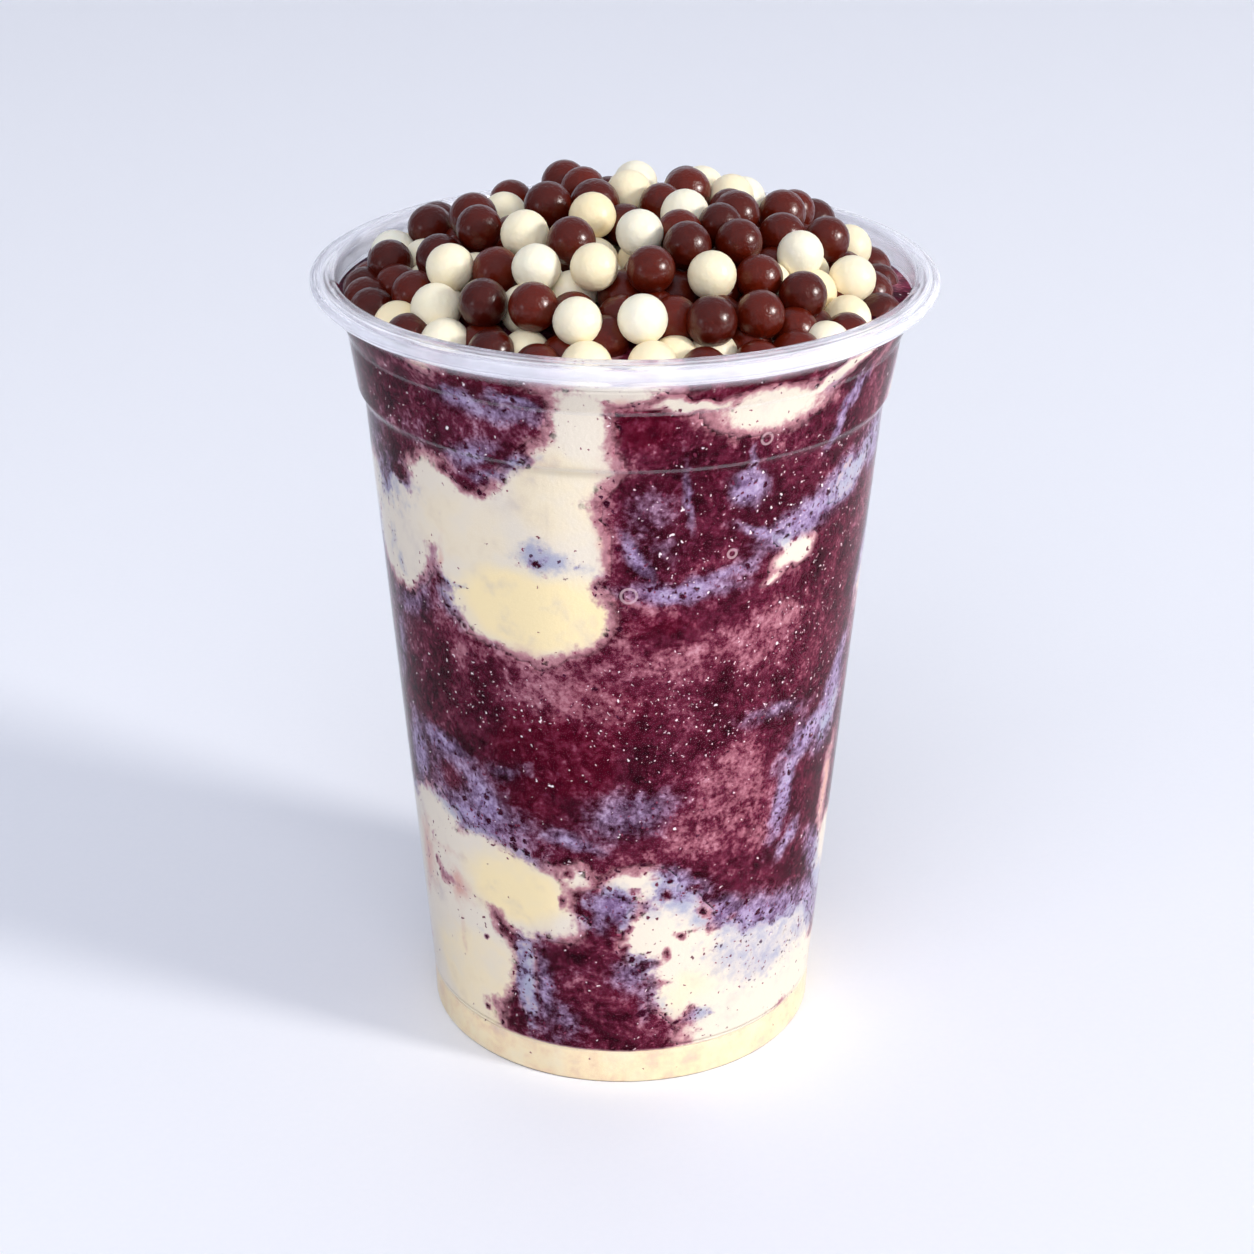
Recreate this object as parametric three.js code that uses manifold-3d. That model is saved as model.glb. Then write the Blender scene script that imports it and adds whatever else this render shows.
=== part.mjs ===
// A filled acai cup with chocolate balls: a clear plastic cup, a fill of purple acai
// with cream swirled through it, and a low heap of dark and white chocolate balls.
// Millimetres, +Z up. The origin is the centre of the foot, and the front faces -Y.

import * as THREE from "three";
import { mergeVertices } from "three/addons/utils/BufferGeometryUtils.js";
import Module from "manifold-3d";

const wasm = await Module();
wasm.setup();

// Driving dimensions of the cup.
const RIM_RADIUS = 49.0;
const CUP_HEIGHT = 131.2;
const FOOT_RADIUS = 32.6;
const FOOT_EDGE = 0.6;
const CREASE_RADIUS = 32.73;
const CREASE_HEIGHT = 6.16;
const SHOULDER_RADIUS = 41.2;
const SHOULDER_HEIGHT = 111.4;
const BAND_FOOT_RADIUS = 42.2;
const BAND_FOOT_HEIGHT = 112.9;
const BAND_TOP_RADIUS = 43.5;
const BAND_TOP_HEIGHT = 122.0;
const FLARE_RADIUS = 45.6;
const FLARE_HEIGHT = 126.6;
const WALL = 0.5;
const FLOOR = 0.6;
const PUNT = 1.2;
const FOOT_RING_WIDTH = 3.4;

// Driving dimensions of what is in the cup.
const GAP = 0.3;
const BED_CENTRE_HEIGHT = 129.3;
const BED_EDGE_HEIGHT = 126.5;
const BED_RADIUS = 44.6;
const POOL_HEIGHT = 6.6;

// The heap: balls in a full lower layer and a looser upper one, each layer a low dome.
const BALL_RADIUS = 3.65;
const BALL_SPREAD = 0.09;
const LOWER_CENTRE = 133.2;
const LOWER_FALL = 7.6;
const UPPER_CENTRE = 139.6;
const UPPER_FALL = 12.5;
const DOME_RADIUS = 41.0;
const HEAP_ROOM_RADIUS = 44.05;
const SCATTER_RADIUS = 39.0;
const FREE_BALLS = 80;
const BACK_BALLS = 18;
const BACK_START = 14.0;
const BACK_DEPTH = 25.0;
const TOUCH = 0.96;
const SETTLING_PASSES = 200;
const SINK_STEP = 0.08;
const HEAP_SEED = 26513;
const PLACED_SIZE = 1.015;
const FREE_LAYER_SPREAD = 0.5;
const PLACED_GAIN = 1.07;
const FREE_GAIN = 1.13;
const CORE_RISE = 1.8;
const STEM_RADIUS = 0.9;
const SCRAP_VOLUME = 60;

const TURNING_STEPS = 40;

// ---- Helpers ---------------------------------------------------------------------

// A closed geometry, with its shared vertices merged, as a solid that can be cut and joined.
function solidOf(geometry) {
  geometry.deleteAttribute("normal");
  geometry.deleteAttribute("uv");
  const merged = mergeVertices(geometry, 1e-3);
  const corners = merged.index.array;
  const kept = [];
  for (let i = 0; i < corners.length; i += 3) {
    const [a, b, c] = [corners[i], corners[i + 1], corners[i + 2]];
    if (a !== b && b !== c && c !== a) kept.push(a, b, c);
  }
  const vertProperties = new Float32Array(merged.attributes.position.array);
  const triVerts = new Uint32Array(kept);
  return new wasm.Manifold(new wasm.Mesh({ numProp: 3, vertProperties, triVerts }));
}

// A profile of [radius, height] points turned about the Z axis.
function turned(profile) {
  const points = profile.map(([radius, height]) => new THREE.Vector2(radius, height));
  const geometry = new THREE.LatheGeometry(points, TURNING_STEPS);
  geometry.rotateX(Math.PI / 2);
  return solidOf(geometry);
}

// The main piece of a solid: loose scraps are dropped, and sealed hollows are filled.
function mainPiece(solid) {
  const pieces = solid.decompose();
  return pieces.reduce((best, piece) => (piece.volume() > best.volume() ? piece : best));
}

// A named mesh with its own material.
function meshOf(name, solid, colour, roughness) {
  const { vertProperties, triVerts } = solid.getMesh();
  const geometry = new THREE.BufferGeometry();
  geometry.setAttribute("position", new THREE.BufferAttribute(vertProperties, 3));
  geometry.setIndex(new THREE.BufferAttribute(triVerts, 1));
  geometry.computeVertexNormals();
  const material = new THREE.MeshStandardMaterial({ color: colour, roughness, metalness: 0 });
  const mesh = new THREE.Mesh(geometry, material);
  mesh.name = name;
  return mesh;
}

// Straight-line reading of a profile: the radius at a height.
function radiusAt(profile, height) {
  for (let i = 1; i < profile.length; i += 1) {
    const [r0, z0] = profile[i - 1];
    const [r1, z1] = profile[i];
    if (height <= z1) return r0 + (r1 - r0) * Math.max(0, (height - z0) / (z1 - z0));
  }
  return profile[profile.length - 1][0];
}

// ---- The cup ---------------------------------------------------------------------

// Outside of the wall, from the foot's corner up to where the rim's flange leaves it.
const wallOutside = [
  [FOOT_RADIUS, FOOT_EDGE],
  [CREASE_RADIUS, CREASE_HEIGHT],
  [SHOULDER_RADIUS, SHOULDER_HEIGHT],
  [BAND_FOOT_RADIUS, BAND_FOOT_HEIGHT],
  [BAND_TOP_RADIUS, BAND_TOP_HEIGHT],
  [FLARE_RADIUS, FLARE_HEIGHT],
];

const wallInside = wallOutside.slice(1).map(([radius, height]) => [radius - WALL, height]);

// The rim: a flat crown that turns down outside into a short lip, open underneath.
function rimProfile() {
  const crown = CUP_HEIGHT;
  return [
    [FLARE_RADIUS + 0.1, crown - 1.6],
    [FLARE_RADIUS + 1.0, crown - 0.8],
    [RIM_RADIUS - 0.9, crown - 1.3],
    [RIM_RADIUS - 2.1, crown - 3.3],
    [RIM_RADIUS - 1.7, crown - 3.8],
    [RIM_RADIUS - 0.25, crown - 2.4],
    [RIM_RADIUS, crown - 1.1],
    [RIM_RADIUS - 2.4, crown],
    [FLARE_RADIUS - 0.6, crown - 0.3],
  ];
}

// The floor stands on a ring: inside the ring its underside is lifted by the punt.
const ringInside = FOOT_RADIUS - 0.5 - FOOT_RING_WIDTH;

function makeCup() {
  const underside = [
    [0, PUNT],
    [ringInside - 1.2, PUNT],
    [ringInside, 0],
    [FOOT_RADIUS - 0.5, 0],
  ];
  const floorTop = [
    [FOOT_RADIUS - 0.9, FLOOR],
    [ringInside + 0.4, FLOOR],
    [ringInside - 0.8, PUNT + FLOOR],
    [0, PUNT + FLOOR],
  ];
  const inside = [...wallInside].reverse();
  return turned([...underside, ...wallOutside, ...rimProfile(), ...inside, ...floorTop]);
}

// ---- The fill --------------------------------------------------------------------

// The side of everything in the cup, one gap inside the wall.
const fillSide = wallInside.map(([radius, height]) => [radius - GAP, height]);

// Height of the fill's top: a low dome that the lowest balls sit in.
function bedHeight(radius) {
  const share = radius / BED_RADIUS;
  return BED_CENTRE_HEIGHT - (BED_CENTRE_HEIGHT - BED_EDGE_HEIGHT) * share * share;
}

const bedRadii = [BED_RADIUS, 38, 29, 18, 0];

// The fill's underside, one gap above the floor of the cup.
const fillUnderside = [
  [0, PUNT + FLOOR + GAP],
  [ringInside - 0.6, PUNT + FLOOR + GAP],
  [ringInside + 0.6, FLOOR + GAP],
  [FOOT_RADIUS - 1.2, FLOOR + GAP],
];

function makeWholeFill() {
  const side = fillSide.filter(([, height]) => height < BED_EDGE_HEIGHT);
  const bed = bedRadii.map((radius) => [radius, bedHeight(radius)]);
  return turned([...fillUnderside, ...side, ...bed]);
}

// The cream in the foot of the cup, grown on its top by the given margin.
function makePool(margin) {
  const top = POOL_HEIGHT + margin;
  return turned([[0, 0], [FOOT_RADIUS + 5, 0], [FOOT_RADIUS + 5, top], [0, top + 1.5]]);
}

// Cream dollops along the wall, each an ellipsoid: azimuth in degrees to the right of
// the front, height, half width, half height, half depth, and depth of its middle below
// the fill's side. The deep ones join the dollops that show.
const DOLLOPS = [
  [-8, 116, 5, 13, 5, 0],
  [-24, 98, 14, 13, 7, 0],
  [-50, 93, 13, 14, 7, 0],
  [-30, 84, 9, 13, 7, 7],
  [-32, 60, 8, 18, 7, 10],
  [-30, 42, 17, 11, 8, 1],
  [-42, 22, 15, 16, 8, 2],
  [26, 24, 11, 8, 6, 1],
  [46, 20, 11, 13, 8, 2],
];

// One dollop, grown all round by the given margin.
function makeDollop([azimuth, height, halfWidth, halfHeight, halfDepth, depth], margin) {
  const geometry = new THREE.IcosahedronGeometry(1, 1);
  geometry.scale(halfWidth + margin, halfDepth + margin, halfHeight + margin);
  geometry.translate(0, -(radiusAt(fillSide, height) - depth), height);
  geometry.rotateZ(THREE.MathUtils.degToRad(azimuth));
  return solidOf(geometry);
}

function makeCreamRoom(margin) {
  return DOLLOPS.reduce((room, dollop) => room.add(makeDollop(dollop, margin)), makePool(margin));
}

// ---- The heap of balls -------------------------------------------------------------

// The balls that stand out at the front lie where they are seen. Each is x, y and its
// layer: 0 is the lower one, 1 the upper one. First the white balls, then the dark ones.
const PLACED_WHITE_BALLS = [
  [-6.8, -33.3, 1], [2.6, -33.3, 1], [-13.1, -21.4, 1], [-4.5, -22.8, 1],
  [12.8, -23.1, 1], [2.2, -11.9, 1], [-5.0, -3.7, 1], [9.2, -1.9, 1],
  [26.6, -9.8, 1], [34.7, -8.8, 1], [35.4, 9.0, 1], [16.9, 14.2, 1],
  [0.6, 9.4, 1], [-15.1, -10.1, 1], [-26.2, -14.8, 1], [-28.0, -21.8, 0.7],
  [-36.8, 9.0, 1], [1.6, 21.0, 1], [12.3, 19.5, 1], [19.2, 21.5, 1],
  [-5.5, -37.7, 0], [4.0, -37.5, 0], [-26.3, -27.5, 0], [-34.0, -18.6, 0],
  [33.5, -16.5, 0], [-19.4, 15.0, 0.5],
];
const PLACED_DARK_BALLS = [
  [3.8, -23.4, 1], [7.2, -29.5, 0.3], [19.8, -28.5, 1], [12.6, -32.1, 1],
  [26.4, -21.1, 1], [20.0, -18.5, 0.7], [-20.7, -26.2, 1], [-13.3, -29.6, 1],
  [-19.2, -15.4, 0.5], [-8.0, -14.4, 1], [-22.4, -3.6, 1], [-12.0, 2.9, 1],
  [9.3, -15.7, 1], [17.1, -12.1, 1], [17.1, 0.2, 1], [24.2, -1.8, 0.8],
  [9.8, 13.0, 1], [24.8, 9.5, 1], [-9.8, 18.5, 1.1], [-6.7, 11.5, 1.05],
  [-31.0, 12.0, 1], [-36.5, 0.0, 1], [-31.8, -12.7, 0.3], [-28.4, -5.7, 0.6],
  [-19.3, -33.0, 0.2], [-12.5, -37.2, 0.1], [11.5, -37.8, 0.1], [19.3, -34.9, 0.1],
];
const PLACED_BALLS = [...PLACED_WHITE_BALLS, ...PLACED_DARK_BALLS];

// Repeatable random numbers from 0 to 1.
function makeRandom(seed) {
  let state = seed;
  return () => {
    state = (state * 16807) % 2147483647;
    return state / 2147483647;
  };
}

// Height of a ball's centre at a place, in a layer from 0 (lower) to 1 (upper).
function layerHeight(x, y, layer) {
  const share = Math.sqrt(x * x + y * y) / DOME_RADIUS;
  const fall = share * share * share;
  const lower = LOWER_CENTRE - LOWER_FALL * fall;
  const upper = UPPER_CENTRE - UPPER_FALL * fall;
  return lower * (1 - layer) + upper * layer;
}

// The placed balls are held. The free ones are drawn at random: most all over the lower
// layer, and the last ones over the upper layer at the back. One draw is the ball's colour.
function scatterBalls() {
  const random = makeRandom(HEAP_SEED);
  const balls = PLACED_BALLS.map(([x, y, layer]) => {
    const radius = BALL_RADIUS * (PLACED_SIZE + BALL_SPREAD * (random() - 0.5));
    return { x, y, z: layerHeight(x, y, layer), radius, held: true };
  });
  const backFrom = PLACED_BALLS.length + FREE_BALLS;
  while (balls.length < backFrom + BACK_BALLS) {
    const atBack = balls.length >= backFrom;
    const x = (2 * random() - 1) * SCATTER_RADIUS;
    const across = random();
    const y = atBack ? BACK_START + BACK_DEPTH * across : (2 * across - 1) * SCATTER_RADIUS;
    const layer = FREE_LAYER_SPREAD * random() + (atBack ? FREE_LAYER_SPREAD : 0);
    if (x * x + y * y > SCATTER_RADIUS * SCATTER_RADIUS) continue;
    const radius = BALL_RADIUS * (1 + 2 * BALL_SPREAD * (random() - 0.5));
    const colourDraw = random();
    balls.push({ x, y, z: layerHeight(x, y, layer), radius, held: false, colourDraw });
  }
  return balls;
}

// Push two balls apart until they just touch. A held ball doesn't move.
function partBalls(a, b) {
  if (a.held && b.held) return;
  const [dx, dy, dz] = [b.x - a.x, b.y - a.y, b.z - a.z];
  const wanted = TOUCH * (a.radius + b.radius);
  const squared = dx * dx + dy * dy + dz * dz;
  if (squared >= wanted * wanted) return;
  const distance = Math.sqrt(squared);
  const push = (wanted - distance) / distance;
  const shareOfA = a.held ? 0 : b.held ? 1 : 0.5;
  const shareOfB = b.held ? 0 : a.held ? 1 : 0.5;
  a.x -= dx * push * shareOfA;
  a.y -= dy * push * shareOfA;
  a.z -= dz * push * shareOfA;
  b.x += dx * push * shareOfB;
  b.y += dy * push * shareOfB;
  b.z += dz * push * shareOfB;
}

// Keep a ball inside the cup and on the lower layer's dome.
function keepInCup(ball) {
  const distance = Math.sqrt(ball.x * ball.x + ball.y * ball.y);
  const limit = HEAP_ROOM_RADIUS - ball.radius;
  if (distance > limit) {
    ball.x *= limit / distance;
    ball.y *= limit / distance;
  }
  ball.z = Math.max(ball.z, layerHeight(ball.x, ball.y, 0));
}

// Scattered balls sink a little in each pass and push each other apart until they lie still.
function settleBalls() {
  const balls = scatterBalls();
  const freeBalls = balls.filter((ball) => !ball.held);
  for (let pass = 0; pass < SETTLING_PASSES; pass += 1) {
    for (const ball of freeBalls) ball.z -= SINK_STEP;
    for (let i = 0; i < balls.length; i += 1) {
      for (let j = i + 1; j < balls.length; j += 1) partBalls(balls[i], balls[j]);
    }
    freeBalls.forEach(keepInCup);
  }
  return balls;
}

// The core under the balls: up to a little above the middle of the lower layer.
function makeHeapCore() {
  const top = bedRadii.map((radius) => [radius, layerHeight(radius, 0, 0) + CORE_RISE]);
  return turned([[0, POOL_HEIGHT], [BED_RADIUS, POOL_HEIGHT], ...top]);
}

// The room that the heap may fill: above the fill, and inside the wall and rim.
function makeHeapRoom() {
  const side = radiusAt(fillSide, FLARE_HEIGHT) - 0.4;
  const ceiling = UPPER_CENTRE + 4 * BALL_RADIUS;
  const innerRadii = [...bedRadii].reverse().slice(0, -1);
  const underside = [...innerRadii, side].map((radius) => [radius, bedHeight(radius) + GAP]);
  return turned([...underside, [side, ceiling], [0, ceiling]]);
}

// A thin square stem from the middle of a loose piece down into the core.
function makeStem(piece) {
  const { min, max } = piece.boundingBox();
  const [x, y, top] = min.map((low, axis) => (low + max[axis]) / 2);
  const bottom = layerHeight(x, y, 0);
  const geometry = new THREE.CylinderGeometry(STEM_RADIUS, STEM_RADIUS, top - bottom, 4);
  geometry.rotateX(Math.PI / 2);
  geometry.translate(x, y, (top + bottom) / 2);
  return solidOf(geometry);
}

// The balls are plain faceted ones. A faceted ball that only touches its neighbours at
// a point would come loose, so it stands on a hidden stem.
function makeHeap() {
  let heap = makeHeapCore();
  for (const ball of settleBalls()) {
    const geometry = ball.held
      ? new THREE.OctahedronGeometry(ball.radius * PLACED_GAIN, 1)
      : new THREE.IcosahedronGeometry(ball.radius * FREE_GAIN, 0);
    geometry.translate(ball.x, ball.y, ball.z);
    heap = heap.add(solidOf(geometry));
  }
  const [, ...loose] = heap.decompose().sort((a, b) => b.volume() - a.volume());
  for (const piece of loose) {
    if (piece.volume() > SCRAP_VOLUME) heap = heap.add(makeStem(piece));
  }
  return mainPiece(heap.intersect(makeHeapRoom()));
}

// ---- The whole cup -----------------------------------------------------------------

const wholeFill = makeWholeFill();
const cream = mainPiece(wholeFill.intersect(makeCreamRoom(0)));
const acai = mainPiece(wholeFill.subtract(makeCreamRoom(GAP)));

const group = new THREE.Group();
group.add(meshOf("cup", makeCup(), 0xe9ebf2, 0.15));
group.add(meshOf("acai", acai, 0x4a1a35, 0.55));
group.add(meshOf("cream", cream, 0xefe3c8, 0.5));
group.add(meshOf("chocolate_ball_heap", makeHeap(), 0x54251e, 0.3));

export default group;
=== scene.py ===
# %% [markdown]
# # A filled acai cup with chocolate balls
# A clear plastic cup holds purple acai with cream swirled through it, and a low heap of
# dark and white chocolate balls lies on top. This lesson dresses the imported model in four
# steps: the cup, the fill, the heap, and the light. Every length is a real one, named in
# millimetres and turned to metres where a mesh is made. Only the paper and the lamps round
# the cup are so large that they are given in metres.

# %% Load the frame
import math

import bpy
import numpy as np
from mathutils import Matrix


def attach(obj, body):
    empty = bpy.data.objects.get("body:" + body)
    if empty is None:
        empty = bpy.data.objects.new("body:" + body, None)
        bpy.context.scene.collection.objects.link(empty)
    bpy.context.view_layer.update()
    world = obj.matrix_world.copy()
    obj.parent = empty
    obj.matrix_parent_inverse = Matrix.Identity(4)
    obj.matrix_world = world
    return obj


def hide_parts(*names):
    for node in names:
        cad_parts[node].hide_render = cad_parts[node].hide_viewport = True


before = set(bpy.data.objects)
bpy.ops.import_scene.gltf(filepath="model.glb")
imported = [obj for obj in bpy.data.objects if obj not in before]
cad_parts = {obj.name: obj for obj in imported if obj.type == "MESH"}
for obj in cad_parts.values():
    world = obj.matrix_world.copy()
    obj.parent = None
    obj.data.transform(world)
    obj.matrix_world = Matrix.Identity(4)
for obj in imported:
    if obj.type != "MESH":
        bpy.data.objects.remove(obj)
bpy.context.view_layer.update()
MM = 0.001

# %% [markdown]
# ## Helpers for surfaces
# A cup, a fill and a ball are all surfaces with two parameters: a place along a profile
# and a turn about an axis. They could be spun with a modifier, but numpy works out every
# vertex at once and leaves a finished mesh whose faces are known to point outwards.

# %% Helpers: meshes
def mesh_piece(name, points, faces, material, smooth=True):
    """A mesh object at the origin, from an (n, 3) array in mm and a list of faces."""
    mesh = bpy.data.meshes.new(name)
    mesh.from_pydata((np.asarray(points) * MM).tolist(), [], faces)
    mesh.polygons.foreach_set("use_smooth", np.full(len(mesh.polygons), smooth))
    mesh.materials.append(material)
    mesh.update()
    piece = bpy.data.objects.new(name, mesh)
    bpy.context.scene.collection.objects.link(piece)
    return piece


def closed_rows(count, steps):
    """
    Faces of a closed skin over `count` rings of `steps` points, the lowest ring first, then
    one point below them and one above: an array of quads and one of end triangles.
    """
    here = np.arange(count * steps).reshape(count, steps)
    beside = np.roll(here, -1, axis=1)
    sides = np.stack([here[:-1], beside[:-1], beside[1:], here[1:]], axis=-1).reshape(-1, 4)
    foot, top = count * steps, count * steps + 1
    low = np.stack([np.full(steps, foot), beside[0], here[0]], axis=-1)
    high = np.stack([np.full(steps, top), here[-1], beside[-1]], axis=-1)
    return sides, np.concatenate([low, high])


def turned(profile, steps):
    """
    A closed profile of (radius, height), from the axis below to the axis above, turned
    about Z: the point at profile place i and turn t is (r_i sin t, -r_i cos t, z_i).
    The two ends are single points on the axis. Returns points and faces.
    """
    radius, height = np.asarray(profile, float)[1:-1].T
    turn = np.arange(steps) * 2 * np.pi / steps
    rings = np.stack([radius[:, None] * np.sin(turn), -radius[:, None] * np.cos(turn),
                      height[:, None] + 0 * turn], axis=-1)
    ends = [[0, 0, profile[0][1]], [0, 0, profile[-1][1]]]
    sides, caps = closed_rows(len(radius), steps)
    return np.concatenate([rings.reshape(-1, 3), ends]), sides.tolist() + caps.tolist()


def rounded(corners, reach, steps=4, most=0.45):
    """
    The corners of a profile eased off: between two points at `reach` mm either side of a
    corner P, or at `most` of a shorter side, the curve (1-t)^2 A + 2t(1-t) P + t^2 B.
    The two ends of the profile stay.
    """
    corners = np.asarray(corners, float)
    before, here, after = corners[:-2], corners[1:-1], corners[2:]
    back, ahead = before - here, after - here
    back_length = np.linalg.norm(back, axis=1, keepdims=True)
    ahead_length = np.linalg.norm(ahead, axis=1, keepdims=True)
    start = here + back / back_length * np.minimum(reach, most * back_length)
    end = here + ahead / ahead_length * np.minimum(reach, most * ahead_length)
    t = np.linspace(0, 1, steps)[None, :, None]
    eased = ((1 - t) ** 2 * start[:, None] + 2 * t * (1 - t) * here[:, None]
             + t ** 2 * end[:, None])
    return np.concatenate([corners[:1], eased.reshape(-1, 2), corners[-1:]])


# %% Helpers: colours and nodes
def linear(code, alpha=1.0):
    """An sRGB hex colour as a linear RGBA: ((c + 0.055) / 1.055) ** 2.4, or c / 12.92."""
    parts = [int(code[i:i + 2], 16) / 255 for i in (1, 3, 5)]
    return [c / 12.92 if c <= 0.04045 else ((c + 0.055) / 1.055) ** 2.4 for c in parts] + [alpha]


def new_material(name):
    """A material with an empty node tree and its output node."""
    material = bpy.data.materials.new(name)
    material.use_nodes = True
    material.node_tree.nodes.clear()
    return material, material.node_tree, add(material.node_tree, "OutputMaterial")


def add(tree, kind, inputs=None, stops=(), **settings):
    """
    A shader node with its settings. Inputs are values, or output sockets to link from. A
    colour ramp also takes stops of (place, sRGB hex), its two ends first.
    """
    node = tree.nodes.new("ShaderNode" + kind)
    for i, (place_on_ramp, code) in enumerate(stops):
        ends = node.color_ramp.elements
        stop = ends[i] if i < 2 else ends.new(place_on_ramp)
        stop.position, stop.color = place_on_ramp, linear(code)
    for name, value in settings.items():
        setattr(node, name, value)
    for name, value in (inputs or {}).items():
        if isinstance(value, bpy.types.NodeSocket):
            tree.links.new(value, node.inputs[name])
        else:
            node.inputs[name].default_value = value
    return node


# %% [markdown]
# ## The camera
# The photograph looks down on the cup by about 25 degrees, from close to the front. A
# camera could be set by eye. Here its place, lens and small roll come from the ellipses of
# the rim, the two rings and the foot: with the rim 98 mm across, only one camera draws all
# of them where they are.

# %% Camera
CAMERA_DISTANCE = 439.8
CAMERA_DROP = math.radians(25.393)
CAMERA_ROLL = math.radians(0.288)
LOOK_HEIGHT = 65.0
IMAGE_WIDTH = 1254
FOCAL_PIXELS = 2643.0
SHIFT_PIXELS = (-3.988, 18.648)
SENSOR_WIDTH = 36.0

camera_data = bpy.data.cameras.new("camera")
camera_data.sensor_width = SENSOR_WIDTH
camera_data.lens = FOCAL_PIXELS / IMAGE_WIDTH * SENSOR_WIDTH
camera_data.shift_x = -SHIFT_PIXELS[0] / IMAGE_WIDTH
camera_data.shift_y = SHIFT_PIXELS[1] / IMAGE_WIDTH
camera_data.clip_start = 0.01
camera = bpy.data.objects.new("camera", camera_data)
bpy.context.scene.collection.objects.link(camera)
camera.location = (0, -CAMERA_DISTANCE * math.cos(CAMERA_DROP) * MM,
                   (LOOK_HEIGHT + CAMERA_DISTANCE * math.sin(CAMERA_DROP)) * MM)
camera.rotation_mode = "ZYX"
camera.rotation_euler = (math.pi / 2 - CAMERA_DROP, 0, CAMERA_ROLL)
bpy.context.scene.camera = camera
print("camera lens in mm:", round(camera_data.lens, 2))

# %% [markdown]
# ## The clear cup
# The real cup is thermoformed from one sheet of clear plastic film: a ring to stand on,
# a crease just above the foot, a straight taper, a band between two rings under the rim,
# and a rolled rim. The CAD node has the right sizes but flat facets that would show as
# stripes in the reflections, so a finer turned surface with eased corners replaces it.

# %% The cup's profile
FOOT_RADIUS, FOOT_EDGE = 32.6, 0.6
CREASE = (32.73, 6.16)
SHOULDER = (41.2, 111.4)
BAND_FOOT = (42.2, 112.9)
BAND_TOP = (43.5, 122.0)
FLARE = (45.6, 126.6)
RIM_RADIUS, CUP_HEIGHT = 49.0, 131.2
WALL, FLOOR, PUNT, RING_WIDTH = 0.5, 0.6, 1.2, 3.4
FOOT_ROUND, PUNT_SLOPE, FILM_INSET = 0.5, 1.2, 0.4
CUP_STEPS = 256

wall_outside = np.array([(FOOT_RADIUS, FOOT_EDGE), CREASE, SHOULDER, BAND_FOOT, BAND_TOP, FLARE])
ring_inside = FOOT_RADIUS - FOOT_ROUND - RING_WIDTH


def inner_radius(height):
    """The inside radius of the wall at a height: straight lines between the rings."""
    return np.interp(height, wall_outside[:, 1], wall_outside[:, 0]) - WALL


crown = CUP_HEIGHT
rim = [(FLARE[0] + 0.1, crown - 1.6), (FLARE[0] + 1.0, crown - 0.8),
       (RIM_RADIUS - 0.9, crown - 1.3), (RIM_RADIUS - 2.1, crown - 3.3),
       (RIM_RADIUS - 1.7, crown - 3.8), (RIM_RADIUS - 0.25, crown - 2.4),
       (RIM_RADIUS, crown - 1.1), (RIM_RADIUS - 2.4, crown), (FLARE[0] - 0.6, crown - 0.3)]
foot_outside = [(0, PUNT), (ring_inside - PUNT_SLOPE, PUNT), (ring_inside, 0),
                (FOOT_RADIUS - FOOT_ROUND, 0)]
foot_inside = [(r + shift, z + FLOOR) for (r, z), shift in
               zip(foot_outside[:0:-1], (-FILM_INSET, FILM_INSET, FILM_INSET))]
cup_corners = (foot_outside + wall_outside.tolist() + rim
               + [(r - WALL, z) for r, z in wall_outside[:0:-1]]
               + foot_inside + [(0, PUNT + FLOOR)])
cup_profile = rounded(cup_corners, reach=0.7)

# %% [markdown]
# ### The film
# The film is clear polypropylene, smooth where it was drawn thin over the mould, thicker
# and milky where the rim was rolled. The lighter circles on the rolled rim and the thin
# lines along the crease and the rings are partly that milkiness and partly painted
# highlights: milky film laid where the lamps' reflections would show. Its real index of
# refraction of 1.49 would mirror the bright room as a grey haze over the dark acai, which a
# photographer keeps away with black cards. A lower index does the same here, and it takes
# those reflections away. The wall must let lamps through, or the fill behind it would be
# black and full of noise, so a Light Path node makes it plain transparent for shadow rays
# alone.

# %% Material: clear polypropylene film
WALL_IOR, RIM_IOR = 1.1, 1.25
RIM_FROM, RIM_TO = 125.6, 127.4
CLOUD_SIZE, RING_HIGHLIGHT_MILK = 9.0, 0.09
# how milky the rolled rim is, from its inner edge (0) at RIM_LINES_FROM to the outer (1):
# the plastic's own milkiness, with painted highlights in the lighter circles where the roll
# would reflect the lamps
RIM_LINES_FROM = 45.2
RIM_MILK_AND_HIGHLIGHTS = ((0.0, "#808080"), (1.0, "#C8C8C8"), (0.12, "#A8A8A8"), (0.2, "#606060"),
             (0.44, "#6C6C6C"), (0.52, "#CCCCCC"), (0.6, "#666666"), (0.84, "#747474"),
             (0.92, "#D8D8D8"))
# height and half width of the thin milky lines at the crease and the rings: painted
# highlights in place of the lamps' reflections along the ring edges, which the low index
# takes away
RING_HIGHLIGHT_LINES = ((CREASE[1] + 0.1, 0.2), (BAND_FOOT[1] - 0.3, 0.3), (BAND_TOP[1], 0.3))

clear_film, tree, output = new_material("clear polypropylene film")
place = add(tree, "TexCoord").outputs["Object"]
height = add(tree, "SeparateXYZ", {"Vector": place}).outputs["Z"]
level = add(tree, "VectorMath", {0: place, 1: (1.0, 1.0, 0.0)}, operation="MULTIPLY")
radius = add(tree, "VectorMath", {0: level.outputs[0]}, operation="LENGTH")
across_rim = add(tree, "MapRange", {
    "Value": radius.outputs["Value"], "From Min": RIM_LINES_FROM * MM,
    "From Max": RIM_RADIUS * MM})
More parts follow.
